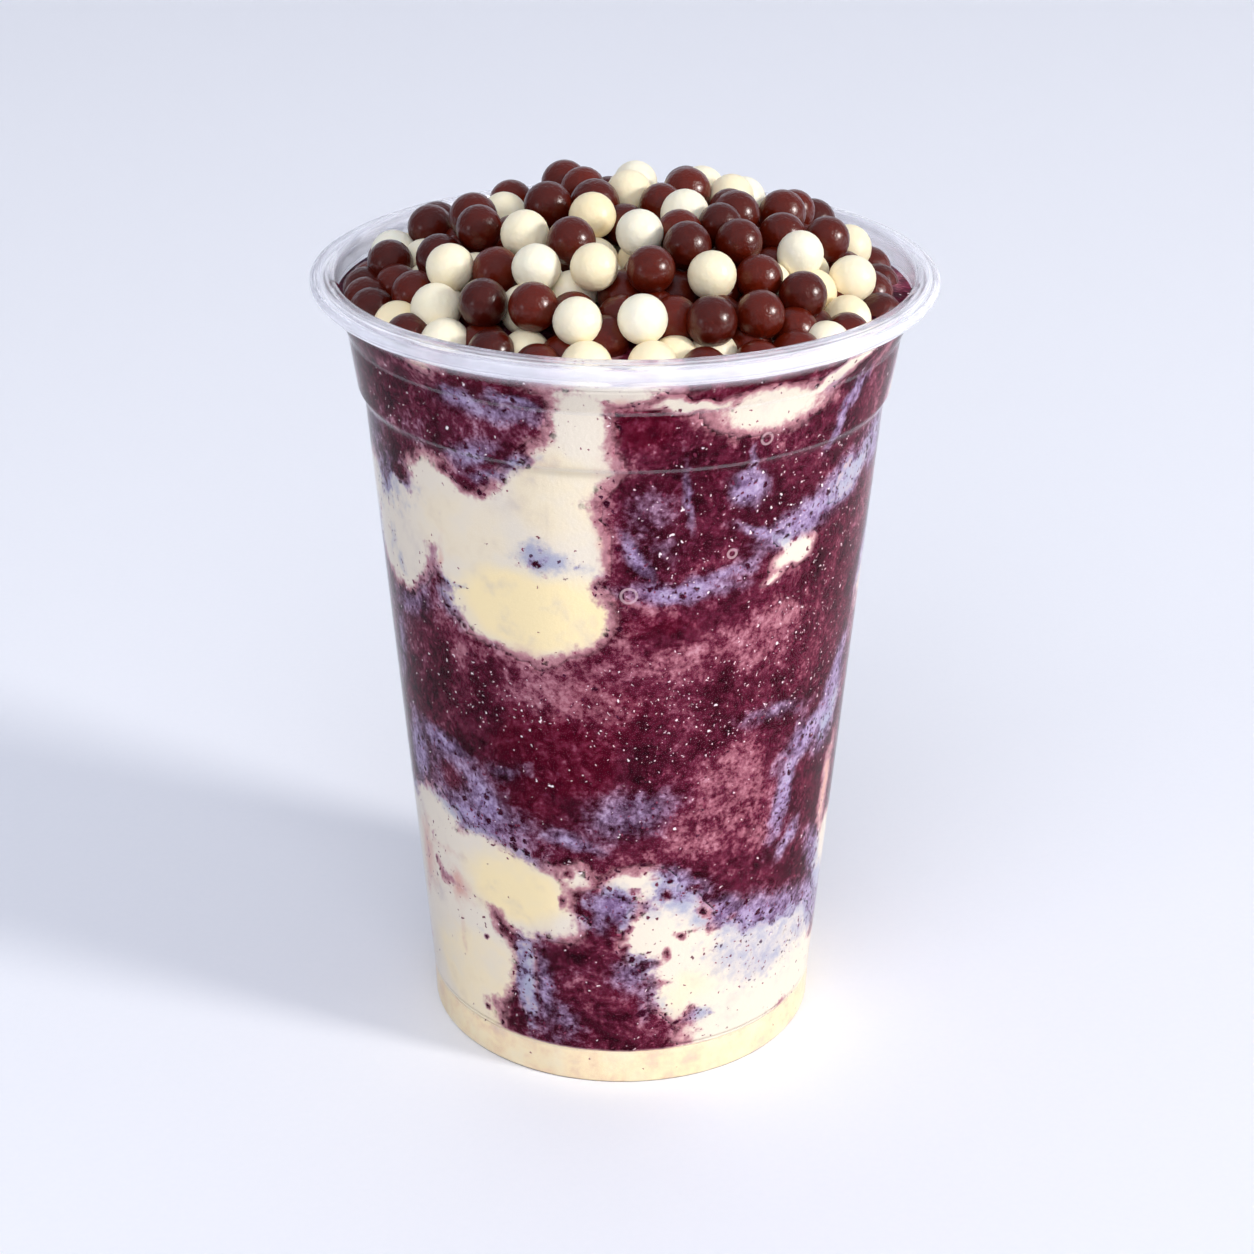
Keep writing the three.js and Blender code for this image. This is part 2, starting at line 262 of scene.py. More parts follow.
# the lighter circles are partly milky plastic and partly painted highlights of the lamps on the roll
rim_milk_and_highlights = add(tree, "ValToRGB", {"Fac": across_rim.outputs[0]}, stops=RIM_MILK_AND_HIGHLIGHTS)
cloudy = add(tree, "TexNoise", {"Vector": place, "Scale": 1 / (CLOUD_SIZE * MM)})
cloudy = add(tree, "MapRange", {"Value": cloudy.outputs[0], "From Min": 0.3,
                                "From Max": 0.7, "To Min": 0.6, "To Max": 1.3})
rim_streaks_and_highlights = add(tree, "Math", {0: rim_milk_and_highlights.outputs[0], 1: cloudy.outputs[0]},
              operation="MULTIPLY").outputs[0]
in_rim = add(tree, "MapRange", {"Value": height, "From Min": RIM_FROM * MM,
                                "From Max": RIM_TO * MM}).outputs[0]
wall_part = add(tree, "BsdfPrincipled", {
    "Base Color": linear("#F8F9FF"), "IOR": WALL_IOR, "Transmission Weight": 1.0,
    "Roughness": 0.03})
rim_part = add(tree, "BsdfPrincipled", {
    "Base Color": linear("#FFFFFF"), "IOR": RIM_IOR, "Roughness": 0.1,
    "Transmission Weight": 1.0})
milky_and_highlight_part = add(tree, "BsdfPrincipled", {
    "Base Color": linear("#EEEEF4"), "IOR": RIM_IOR, "Roughness": 0.25})
film = add(tree, "MixShader", {0: in_rim, 1: wall_part.outputs[0], 2: rim_part.outputs[0]})
milk_and_highlights = add(tree, "Math", {0: rim_streaks_and_highlights, 1: in_rim}, operation="MULTIPLY").outputs[0]
# painted highlights: a little milk at each ring line
for line_height, half_width in RING_HIGHLIGHT_LINES:
    line = add(tree, "Math", {0: height, 1: line_height * MM, 2: half_width * MM},
               operation="COMPARE")
    milk_and_highlights = add(tree, "Math", {0: line.outputs[0], 1: RING_HIGHLIGHT_MILK, 2: milk_and_highlights},
               operation="MULTIPLY_ADD").outputs[0]
film = add(tree, "MixShader", {0: milk_and_highlights, 1: film.outputs[0], 2: milky_and_highlight_part.outputs[0]})
lamp_ray = add(tree, "LightPath").outputs["Is Shadow Ray"]
pass_through = add(tree, "BsdfTransparent", {"Color": linear("#F2F4FA")})
whole_film = add(tree, "MixShader", {0: lamp_ray, 1: film.outputs[0], 2: pass_through.outputs[0]})
tree.links.new(whole_film.outputs[0], output.inputs["Surface"])

# %% The cup
cup = mesh_piece("cup_film", *turned(cup_profile, CUP_STEPS), clear_film)
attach(cup, "root")
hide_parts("cup")
print("cup_film faces:", len(cup.data.polygons))

# %% [markdown]
# ## Where the cream lies
# Cream was spooned down the wall of the cup before the acai went in, and the spoon drew
# both into streaks. Painting that by hand would take an image. Here it is a list of soft
# strokes instead: each is an ellipse on the unrolled wall, with a kind, and waves of
# seeded noise bend them all. Six fields come out, and every piece of the fill reads the
# same ones, so the pattern runs on where two pieces meet.

# %% Noise on the unrolled wall
WALL_MM_PER_DEGREE = 0.7
MEAN_RADIUS = WALL_MM_PER_DEGREE * 180 / np.pi
NOISE_FROM, NOISE_HEIGHT = -5, 160


def waves(azimuth, height, cell, seed):
    """
    Smooth noise from 0 to 1 over the unrolled wall: random values at the corners of
    square cells of `cell` mm, blended by 3f^2 - 2f^3 in both directions. It closes on
    itself round the cup.
    """
    count = max(4, round(2 * np.pi * MEAN_RADIUS / cell))
    rows = int(NOISE_HEIGHT / cell) + 3
    lattice = np.random.default_rng(seed).random((rows, count))
    across = (azimuth / 360 % 1) * count
    up = (height - NOISE_FROM) / cell
    i, j = np.floor(across).astype(int), np.clip(np.floor(up).astype(int), 0, rows - 2)
    f, g = across - i, np.clip(up - j, 0, 1)
    f, g = f * f * (3 - 2 * f), g * g * (3 - 2 * g)
    left, right = i % count, (i + 1) % count
    low = lattice[j, left] * (1 - f) + lattice[j, right] * f
    high = lattice[j + 1, left] * (1 - f) + lattice[j + 1, right] * f
    return low * (1 - g) + high * g


def cloud(azimuth, height, cell, seed):
    """Three octaves of waves, each half as large and half as strong, from -1 to 1."""
    total = sum(waves(azimuth, height, cell / 2 ** n, seed + n) / 2 ** n for n in range(3))
    return total / 1.75 * 2 - 1


# %% The strokes at the front
# by kind: azimuth in degrees to the right of the front, height, half length and half
# width in mm, turn in degrees from level, strength
FRONT_STROKES = {
    "pink": [(-3.5, 104, 9, 2.2, 92, 0.9), (2, 91, 5, 3, -30, 0.9), (0, 84, 4.5, 2.6, 88, 0.8),
        (-20, 78.7, 13, 2.4, 0, 0.9), (-41, 77, 2, 2, 0, 1), (-47, 83, 4.5, 2.6, -60, 0.7),
        (8, 88.8, 5, 1.6, -10, 0.9), (15, 81.8, 5, 1.2, 10, 0.7), (39, 84.8, 6.5, 3.8, -5, 0.9),
        (33, 78.2, 4.5, 1.4, 12, 0.8), (64, 84, 4, 1, 80, 0.6), (40, 91.5, 4, 1.4, 8, 0.8),
        (30, 56, 8, 8.5, 0, 0.7), (20, 49, 7.5, 6.5, -10, 0.65), (38, 46, 6, 5, -30, 0.7),
        (70, 47, 9, 3.5, 80, 1), (-30, 45.5, 8, 2.2, -5, 0.8), (6, 45, 6, 2.4, 10, 0.7),
        (-41, 125, 3.5, 2, 0, 0.9), (-56, 124, 5, 1.6, 10, 0.6), (-55, 112.5, 1.8, 0.9, 50, 1),
        (33.4, 114.5, 1.1, 1.1, 0, 0.8), (1, 123.5, 3.5, 1.4, -20, 0.7), (62, 124, 5, 1.8, 25, 0.9),
        (66, 116, 5, 2, 70, 0.6), (74, 96, 8, 4, 80, 0.6), (-25, 111.5, 7, 1.6, 12, 0.6),
        (17, 94, 9, 5, 0, 0.35), (-9, 27, 8, 1.4, -8, 0.7), (52, 75, 9, 7, 0, 0.28),
        (76, 74, 12, 4, 85, 0.6), (-62, 78, 9, 5, 0, 0.25), (-14, 73.5, 13, 5, -8, 0.75),
        (12, 80, 10, 4, 5, 0.7), (30, 81, 10, 6, 0, 0.6), (-36, 116, 14, 6, 0, 0.3)],
    "lavender": [(-60, 82, 10, 3, 20, 0.5), (-42, 51, 14, 6, -20, 0.5), (-38, 113, 16, 6, 0, 0.15),
        (-14, 14, 8, 4, 60, 0.5), (10, 16, 3, 6, 20, 0.5), (-64, 101, 10, 5, 20, 0.5),
        (44, 24, 18, 9, -8, 0.6), (-33, 122.3, 3, 1.5, 0, 0.9), (-21, 122.8, 3.4, 0.9, -15, 1),
        (-26, 120.8, 8, 1.4, -4, 0.6), (-33, 113, 5, 1.8, 25, 0.8), (-22, 112.5, 3.5, 1.5, 30, 0.7),
        (-30, 109.5, 7, 1.1, 16, 0.6), (52, 118, 4.5, 1.1, 65, 0.9), (49, 114.3, 3, 0.9, 72, 0.8),
        (55.5, 119.5, 3, 0.8, 60, 0.8), (27, 108.3, 2.7, 2.6, 0, 1), (27, 112, 2.4, 0.7, 88, 0.9),
        (45, 100.8, 9, 2.6, 14, 1), (58, 104.6, 8, 3.2, 20, 1), (31, 100.3, 4.2, 0.8, -25, 0.9),
        (73, 107, 5, 4.5, 10, 0.9), (12, 92.3, 8, 1.7, -2, 1), (3.5, 98, 4.5, 1.1, -65, 0.9),
        (24, 94.3, 5, 1.3, 25, 0.7), (6, 105, 6, 4.5, 80, 0.3), (13.5, 108, 6, 0.7, 102, 0.7),
        (8, 99, 4, 3, 0, 0.35), (66, 68, 6, 3, 60, 0.9), (40, 67, 8, 1.7, -5, 0.5),
        (54, 60.5, 8, 2.4, 22, 1), (64, 62, 6.5, 3.6, 62, 1), (46, 52, 9, 2, 76, 1),
        (50, 42, 4, 1.6, 50, 0.8), (-66, 54, 5.5, 3.4, 80, 0.9), (-52, 58.6, 7, 1.9, -10, 0.8),
        (-38, 51.5, 4.6, 3, -42, 1), (-44, 47, 12, 2.6, -6, 0.9), (-30, 58, 5, 1.8, 20, 0.5),
        (2, 52.5, 9, 4.5, 10, 0.5), (-13, 47.2, 5, 1.4, -15, 0.7), (38, 30.2, 16, 3.2, -12, 1),
        (15, 37.5, 6, 4.2, -25, 0.9), (-3, 34.5, 4.2, 4.2, 0, 1), (72, 24, 8, 6, -30, 1),
        (66, 34, 6, 3, -60, 0.8), (-72, 108, 5, 4, 40, 0.4), (-70, 72, 9, 2.4, 70, 0.5),
        (-22, 17, 7, 2, 92, 0.6)],
    "cream": [(-9, 119, 8.5, 3.9, 88, 1), (-3, 126.4, 8, 2, 0, 1), (-11, 112.5, 6.3, 4.2, 0, 1),
        (-17, 108, 9, 4.4, 18, 1), (-40, 100, 11, 6.4, -8, 1), (-47.5, 105, 5.5, 4, 12, 1),
        (-20, 99, 11.2, 10.2, 0, 1), (-23, 88, 14, 7.7, 0, 1), (-35, 94, 9, 6.5, 0, 1),
        (-63.5, 91.8, 9.6, 7.4, 4, 1), (-56, 98, 8.5, 5, 22, 1), (30.5, 120.8, 8.4, 3.1, 0, 1),
        (13, 122.8, 6.5, 1, -3, 0.85), (44, 123.2, 6, 1.4, 25, 0.9), (52, 125.6, 3.6, 1.3, 30, 0.9),
        (60.5, 104.9, 5.5, 2.5, 22, 0.8), (41, 95.3, 3.7, 2, 20, 1), (38, 97.6, 3, 0.9, -35, 0.8),
        (34.5, 92, 2.2, 0.7, 12, 0.7), (-41, 126, 3, 1.2, 0, 0.6), (-40, 37.2, 17, 6.4, 0, 1),
        (-61, 43, 9, 4.8, 8, 1), (-25, 35, 7.2, 7.4, 0, 1), (-72, 32, 8, 11, 0, 1),
        (-58, 20, 19, 10.5, 0, 1), (-62, 9, 16, 5.5, 0, 1), (-48, 27, 8, 5, 0, 1),
        (-27, 19, 8, 1.7, 92, 0.66), (4, 39.6, 5.6, 3.2, -5, 0.85), (7.5, 29.5, 5, 5.2, 0, 0.85),
        (-16, 31, 4, 3.6, 0, 0.85), (15, 33, 6.5, 4.4, -20, 0.8), (22, 24, 11, 6.2, -5, 1),
        (45, 17, 20, 9.5, -8, 1), (72, 10, 16, 5.5, -8, 1), (36, 9, 12, 4.2, 0, 1),
        (15, 17, 4, 5, 0, 0.9), (69.5, 46, 9, 2.2, 84, 0.72), (64, 60.5, 4, 2, 40, 0.6),
        (-13, 40.5, 4, 2.4, 0, 0.7)],
    "dark": [(-37.5, 107.6, 5.6, 1.8, -14, 1), (-18, 97, 4, 1.9, 0, 0.42),
        (-65.5, 91, 2, 1.5, 0, 0.35), (-39.5, 89.4, 2, 0.5, 5, 0.5), (-6, 16, 9.8, 8.8, 0, 1),
        (-4, 9, 16, 3.2, 0, 1), (11, 10.5, 5.5, 3.6, -42, 1), (-17, 24, 5, 2, 0, 1),
        (-32.5, 9.6, 3.4, 1.9, 18, 1), (-29, 13.5, 3, 1.4, 50, 0.9), (4, 23.4, 3.6, 1.3, 12, 1),
        (-8.5, 44.3, 3.8, 2, -5, 1), (-7, 38.6, 1.9, 1.4, 0, 0.95), (-10, 33.6, 2.9, 1.4, -18, 0.95),
        (-1.5, 29.6, 3.2, 2.4, -45, 0.9), (-12, 37.5, 1.2, 1, 0, 0.8), (1.8, 30.6, 1.6, 0.9, 20, 0.8),
        (-50, 53.4, 5.4, 3, -4, 1), (33, 37, 6.5, 3.6, -22, 1), (50, 34.4, 8, 3.6, -4, 1),
        (57.5, 46.5, 4.4, 8.2, 0, 1), (12.5, 85.4, 5.4, 2.8, -8, 0.9), (27.5, 126, 14.4, 1.5, 0, 1),
        (-25, 125.9, 8, 1.5, 0, 1), (-42, 115.8, 9, 2.8, 4, 0.8), (-24, 117.6, 6, 1.7, 6, 0.9),
        (-58, 104.5, 3.8, 2.5, 10, 1), (42, 57.5, 4.6, 4.4, 0, 0.7), (-62, 33.4, 0.9, 0.7, 0, 0.9),
        (-41, 23.6, 0.8, 0.8, 0, 0.9), (-14, 41, 1.3, 1, 0, 0.9), (-3, 41.5, 1.6, 0.9, 30, 0.9),
        (6, 35.5, 1.5, 1.1, -20, 0.9), (-16, 36, 1, 1.6, 0, 0.9), (1, 26.5, 1.8, 1, 40, 0.9),
        (12, 37.5, 1.2, 0.9, 0, 0.9), (16, 29, 1, 0.7, 0, 0.9), (-22, 27.5, 1, 0.8, 0, 0.9),
        (23, 33, 1.4, 0.8, -20, 0.9), (-7, 26, 1.5, 2.2, 0, 0.9), (27, 36.5, 1.8, 1, -15, 0.9),
        (11, 26, 1, 1.4, 20, 0.9), (20, 38.5, 2, 1, -10, 0.9), (-19, 44.5, 2.2, 0.9, -20, 0.9),
        (31, 31, 1.1, 0.8, 0, 0.9), (3, 38, 1.2, 0.8, 30, 0.9), (8, 41, 1.4, 0.8, -20, 0.8),
        (-43.5, 10.2, 0.8, 0.6, 0, 0.9), (-38, 11, 0.8, 0.6, 0, 0.9)],
    "late_pink": [(-50, 31.4, 3.2, 3, 0, 0.9), (-69, 33, 7, 3.4, 76, 0.8), (-58, 36.5, 6, 1, 8, 0.6),
        (-51, 24, 6, 1, 86, 0.55), (-46, 92.5, 5, 0.7, 72, 0.8), (-72, 26, 5, 2, 60, 0.6),
        (-8, 18, 8, 6, 0, 0.45), (4, 12, 5, 3, 0, 0.6), (-2, 94, 2.5, 5, 0, 0.6)],
    "late_lavender": [(-18, 97, 4.6, 2.2, 0, 0.9), (-10, 96.2, 3, 1.3, -8, 0.6),
        (-66, 92, 2.4, 3.6, 0, 0.6), (-62, 88, 1.6, 2, 0, 0.6), (-40, 89.2, 3.4, 1, 4, 0.5),
        (-27, 18, 1.8, 8, 4, 0.9), (23, 12.6, 3.6, 1.8, 10, 0.8), (27, 25, 3.2, 1.8, 0, 0.6),
        (60, 20, 6, 3, -40, 0.7), (8, 34, 3, 3, 0, 0.6), (2, 22, 4, 3, 30, 0.6),
        (-16, 12, 4, 3, -30, 0.5), (44, 21, 15, 7, -8, 0.55), (-42, 25, 3, 2, 0, 0.4),
        (50, 27, 7, 2, -10, 0.7)],
    "yellow": [(-21, 88, 14, 7, 0, 1), (-30, 36, 12, 7, 0, 0.8), (-14, 108, 8, 9, 0, 0.4),
        (-45, 15, 18, 10, 0, 0.5), (-38, 99, 12, 7, 0, 0.35), (16, 18, 8, 5, 0, 0.4)],
    "magenta": [(-18, 63, 12, 8, 0, 1), (-26, 54, 9, 5, 0, 0.8), (-5, 70, 12, 7, 0, 0.6),
        (4, 120, 6, 5, 0, 0.8), (27, 126, 15, 2, 0, 1), (-25, 126, 9, 2, 0, 1), (6, 86, 10, 4, 0, 0.7),
        (14, 113, 8, 7, 0, 0.5), (-6, 14, 10, 8, 0, 0.5)],
    "frost": [(14, 71, 16, 8, 0, 1), (45, 76, 14, 12, 0, 0.7), (-40, 72, 16, 6, -5, 0.6),
        (40, 108, 13, 8, 0, 0.6), (-55, 116, 10, 6, 0, 0.5), (15, 102, 8, 8, 0, 0.5),
        (58, 92, 8, 8, 0, 0.6)]
}

# %% [markdown]
# The photograph shows only the front half. The back could be random strokes, but those
# look like a pattern of sausages. The cook worked the same way all round, so the front's
# strokes are used again, mirrored and lifted, and a few more join the two halves.

# %% The strokes at the sides and the back
SIDE_STROKES = {
    "pink": [(86, 112, 9, 4, 60, 0.6), (92, 70, 8, 5, 80, 0.6), (-84, 104, 9, 4, -60, 0.6),
        (-92, 66, 10, 5, 70, 0.6)],
    "lavender": [(84, 90, 10, 4, 50, 0.8), (94, 40, 9, 4, -50, 0.8), (-82, 88, 9, 3.5, 60, 0.8),
        (-88, 50, 9, 4, -40, 0.9)],
    "cream": [(86, 118, 9, 3, 35, 1), (90, 84, 11, 4.5, 30, 1), (84, 30, 12, 8, -20, 1),
        (-86, 96, 12, 6, 20, 1), (-84, 34, 13, 9, -15, 1), (-96, 112, 8, 3.5, -30, 1),
        (180, 9, 70, 5, 0, 1)],
    "dark": [(90, 60, 10, 8, 0, 1), (-90, 72, 10, 7, 0, 1), (88, 100, 5, 3, 20, 1),
        (-80, 58, 4, 3, 0, 0.9)]
}
BACK_FOOT, BACK_LIFT, FILL_SPAN = 8, 52.0, 118.0
back_strokes = {
    kind: [(180 - azimuth, BACK_FOOT + (height - BACK_FOOT + BACK_LIFT) % FILL_SPAN, length,
            width, -turn, strength) for azimuth, height, length, width, turn, strength in group]
    for kind, group in FRONT_STROKES.items()}
strokes = [(kind, stroke) for kinds in (back_strokes, SIDE_STROKES, FRONT_STROKES)
           for kind, group in kinds.items() for stroke in group]
print("strokes:", len(strokes))

# %% [markdown]
# A stroke has a soft border: its field falls from 1 to 0 over a few millimetres, and the
# material later cuts it sharp. Most kinds add to their own field. A dark stroke takes
# cream, lavender and pink away, as a spoon does that drags acai over them, and a late one
# is smeared over the cream. The foot is all cream, tinted yellow and pink. The pink is
# partly the cream's own tint and partly painted shade that darkens the whole foot, where
# less light reaches. A pink fringe follows the cream's borders.

# %% The fields
BORDER_SOFTNESS, THIN_SOFTNESS = 5.0, 1.6
BENDS = ((7.0, 1.3, 31), (2.6, 0.8, 53))
FIELD_NAMES = ("cream", "lavender", "pink", "yellow", "magenta", "frost")
FIELD_LAYERS = (("marble", FIELD_NAMES[:3]), ("tone", FIELD_NAMES[3:]))
LATE_OVER_CREAM = 0.5
# the foot's least yellow and pink; the pink is partly its own tint and partly painted shade darkening
# the foot
FOOT_BORDER, FOOT_TONES_AND_SHADE = 0.4, (("yellow", 0.66), ("pink", 0.45))
FRINGE_AT, FRINGE_REACH, FRINGE_SHARE, FRINGE_CELL, FRINGE_SEED = 0.3, 0.4, 0.85, 9.0, 71


def stroke_cover(azimuth, height, stroke):
    """How much of a stroke covers a place, 0 to 1: half on its border, by its own ellipse."""
    middle, level, length, width, turn, strength = stroke
    turn = np.radians(turn)
    across = ((azimuth - middle + 180) % 360 - 180) * WALL_MM_PER_DEGREE
    up = height - level
    along = across * np.cos(turn) + up * np.sin(turn)
    aside = -across * np.sin(turn) + up * np.cos(turn)
    reach = np.sqrt((along / length) ** 2 + (aside / width) ** 2)
    thin = min(length, width)
    inside = (1 - reach) * thin
    softness = min(BORDER_SOFTNESS, THIN_SOFTNESS * thin)
    return np.clip(0.5 + inside / softness, 0, 1) * strength


def marble(azimuth, height):
    """The fields of FIELD_NAMES at azimuths (degrees) and heights (mm), each 0 to 1."""
    bent, lifted = azimuth, height
    for cell, swing, seed in BENDS:
        bent = bent + swing * cloud(azimuth, height, cell, seed) / WALL_MM_PER_DEGREE
        lifted = lifted + swing * cloud(azimuth, height, cell, seed + 7)
    fields = {name: np.zeros(np.shape(azimuth)) for name in FIELD_NAMES}
    for kind, stroke in strokes:
        cover = stroke_cover(bent, lifted, stroke)
        if kind == "dark":
            for name in ("cream", "lavender", "pink"):
                fields[name] = np.minimum(fields[name], 1 - cover)
        elif kind.startswith("late_"):
            name = kind[len("late_"):]
            fields[name] = np.maximum(fields[name], cover)
            fields["cream"] = np.minimum(fields["cream"], 1 - LATE_OVER_CREAM * cover)
        else:
            fields[kind] = np.maximum(fields[kind], cover)
    in_foot = np.clip(1 + (CREASE[1] - height) / FOOT_BORDER, 0, 1)
    fields["cream"] = np.maximum(fields["cream"], in_foot)
    # the pink here is partly painted shade for the dimmer foot
    for name, least in FOOT_TONES_AND_SHADE:
        fields[name] = np.maximum(fields[name], least * in_foot)
    fringe = np.clip(1 - np.abs(fields["cream"] - FRINGE_AT) / FRINGE_REACH, 0, 1)
    uneven = 0.6 + 0.4 * cloud(azimuth, height, FRINGE_CELL, FRINGE_SEED)
    fields["pink"] = np.maximum(fields["pink"], FRINGE_SHARE * fringe * uneven)
    return fields


# %% [markdown]
# ## The acai and the cream
# The fill is one mass that fills the cup: acai all through, cream in thick patches on
# the wall, and a pool of cream in the foot. The patches are real bodies a few
# millimetres thick, so they are their own piece, and the acai gives way behind them.
# What touches the wall reaches just into it, because an air gap behind clear plastic
# would mirror like a soap bubble.

# %% The grid on the wall
GRID_TURNS, GRID_ROWS = 400, 208
FILL_FOOT, FILL_TOP = 6.3, 126.5
INTO_WALL = 0.15
CREAM_DEPTH, CREAM_EDGE, CREAM_FULL = 5.5, 0.3, 0.8

azimuths = np.arange(GRID_TURNS) * 360 / GRID_TURNS
levels = np.linspace(FILL_FOOT, FILL_TOP, GRID_ROWS)
grid_azimuth, grid_level = np.meshgrid(azimuths, levels)
wall_fields = marble(grid_azimuth, grid_level)
thickness = CREAM_DEPTH * np.clip((wall_fields["cream"] - CREAM_EDGE)
                                  / (CREAM_FULL - CREAM_EDGE), 0, 1) ** 0.5
# no cream body at the grid's ends, where it could not be closed
thickness[:2] = thickness[-2:] = 0


def on_cup(azimuth, radius, height):
    """Points (r sin a, -r cos a, z) at azimuths in degrees from the front, to the right."""
    a = np.radians(azimuth)
    return np.stack([radius * np.sin(a), -radius * np.cos(a), height], axis=-1)


def give_fields(piece, fields):
    """Keep the fields on the piece's vertices, as two colour attributes."""
    for name, kinds in FIELD_LAYERS:
        parts = [np.ravel(fields[kind]) for kind in kinds]
        flat = np.stack(parts + [np.ones(parts[0].size)], axis=-1)
        layer = piece.data.attributes.new(name, "FLOAT_COLOR", "POINT")
        layer.data.foreach_set("color", flat.astype(np.float32).ravel())


# %% [markdown]
# ### One material for both
# Acai pulp is a frozen purée: near black purple, with magenta where it is thin, and full
# of pale frost grains. Thin cream over it scatters blue light back and looks lavender,
# and where the two are stirred together they are dusty pink. Thick cream is warm ivory
# with freckles of acai. The colours are laid over each other in that order, and each
# border is a field cut by fine noise, which makes it ragged as the real one is. The fill
# is wet against the plastic, so it has almost no gloss of its own.

# %% Material: acai purée and cream
# size in mm, detail and shift of each grain of noise
GRAINS = {"regions": (14.0, 1.0, 1.1), "lumps": (6.0, 3.0, 0.0), "crumbs": (1.9, 3.0, 0.3),
          "powder": (0.65, 2.0, 0.7)}
NOISE_SPREAD = 2.5
SHAKE_SIZE, SHAKE = 0.9, 1.4
SPECK_RIM, SPECK_HEART = 0.62, 0.4
# azimuth in degrees, height and radius in mm of the larger air bubbles at the wall
BUBBLES = ((1.2, 91.8, 1.2), (29.5, 116.0, 0.9), (24.0, 97.5, 0.7), (-39.0, 82.5, 0.7))
BUBBLE_LINE, BUBBLE_SHARE = 0.2, 0.42

acai_marble, tree, output = new_material("frozen acai puree with cream")
place = add(tree, "TexCoord").outputs["Object"]
field = {}
for name, kinds in FIELD_LAYERS:
    stored = add(tree, "Attribute", attribute_name=name)
    parts = add(tree, "SeparateColor", {"Color": stored.outputs["Color"]})
    field.update(zip(kinds, parts.outputs))
grain = {}
for name, (size, detail, shift) in GRAINS.items():
    moved = add(tree, "VectorMath", {0: place, 1: (shift, shift, shift)})
    noise = add(tree, "TexNoise", {"Vector": moved.outputs[0], "Detail": detail,
                                   "Scale": 1 / (size * MM), "Roughness": 0.6})
    grain[name] = add(tree, "Math", {
        0: noise.outputs[0], 1: NOISE_SPREAD, 2: -NOISE_SPREAD / 2},
        operation="MULTIPLY_ADD").outputs[0]
shake = add(tree, "TexNoise", {"Vector": place, "Scale": 1 / (SHAKE_SIZE * MM)})
shaken = add(tree, "VectorMath", {
    0: shake.outputs["Color"], 1: (SHAKE * MM, SHAKE * MM, SHAKE * MM), 2: place},
    operation="MULTIPLY_ADD").outputs[0]


def weighted(start, *parts):
    """start + value * weight, added up over the (value, weight) pairs."""
    for value, weight in parts:
        start = add(tree, "Math", {0: value, 1: weight, 2: start},
                    operation="MULTIPLY_ADD").outputs[0]
    return start


def share(low, high, *parts):
    """The weighted sum of the parts, eased from 0 where it is `low` to 1 at `high`."""
    return add(tree, "MapRange", {
        "Value": weighted(0.0, *parts), "From Min": low, "From Max": high},
        interpolation_type="SMOOTHSTEP").outputs[0]


def specks(cell, size, guide, sparse, dense):
    """
    1 inside uneven specks of `size` mm, at most one to a cell of `cell` mm, else 0. The
    share of the cells that have one goes from `sparse` to `dense` as the guide goes 0 to 1.
    """
    cells = add(tree, "TexVoronoi", {"Vector": shaken, "Scale": 1 / (cell * MM)})
    inside = add(tree, "MapRange", {
        "Value": cells.outputs["Distance"], "From Min": size / cell * SPECK_RIM,
        "From Max": size / cell * SPECK_HEART}).outputs[0]
    drawn = add(tree, "SeparateColor", {"Color": cells.outputs["Color"]}).outputs[0]
    limit = weighted(sparse, (guide, dense - sparse))
    kept = add(tree, "Math", {0: drawn, 1: limit}, operation="LESS_THAN").outputs[0]
    return add(tree, "Math", {0: inside, 1: kept}, operation="MULTIPLY").outputs[0]


lumps, crumbs, powder = grain["lumps"], grain["crumbs"], grain["powder"]
mottle = weighted(0.24, (lumps, 0.3), (crumbs, 0.34), (powder, 0.26), (field["pink"], 0.36))
puree = add(tree, "ValToRGB", {"Fac": mottle}, stops=[
    (0.0, "#1E0309"), (1.0, "#DCB8B8"), (0.2, "#380917"), (0.4, "#5A1B2E"), (0.6, "#8A4A5A"),
    (0.78, "#B88088")]).outputs[0]
deep = add(tree, "ValToRGB", {"Fac": mottle}, stops=[
    (0.0, "#26000A"), (1.0, "#BC7884"), (0.3, "#480416"), (0.6, "#7A2A40")]).outputs[0]
haze_tone = weighted(0.5, (lumps, 0.3), (crumbs, 0.4), (powder, 0.3))
haze = add(tree, "ValToRGB", {"Fac": haze_tone},
           stops=[(0.0, "#4A2A44"), (1.0, "#CCBCD0"), (0.3, "#72587A"), (0.6, "#A08CAA")]).outputs[0]
stirred = add(tree, "Math", {0: crumbs, 1: field["lavender"]}, operation="MULTIPLY")
rough_cream = weighted(0.0, (field["cream"], 1.0), (lumps, 0.16), (crumbs, 0.22),
                       (stirred.outputs[0], 0.6), (powder, 0.08))
crust_guide = share(0.1, 0.8, (field["cream"], 0.6), (field["lavender"], 0.9), (field["pink"], 0.3))
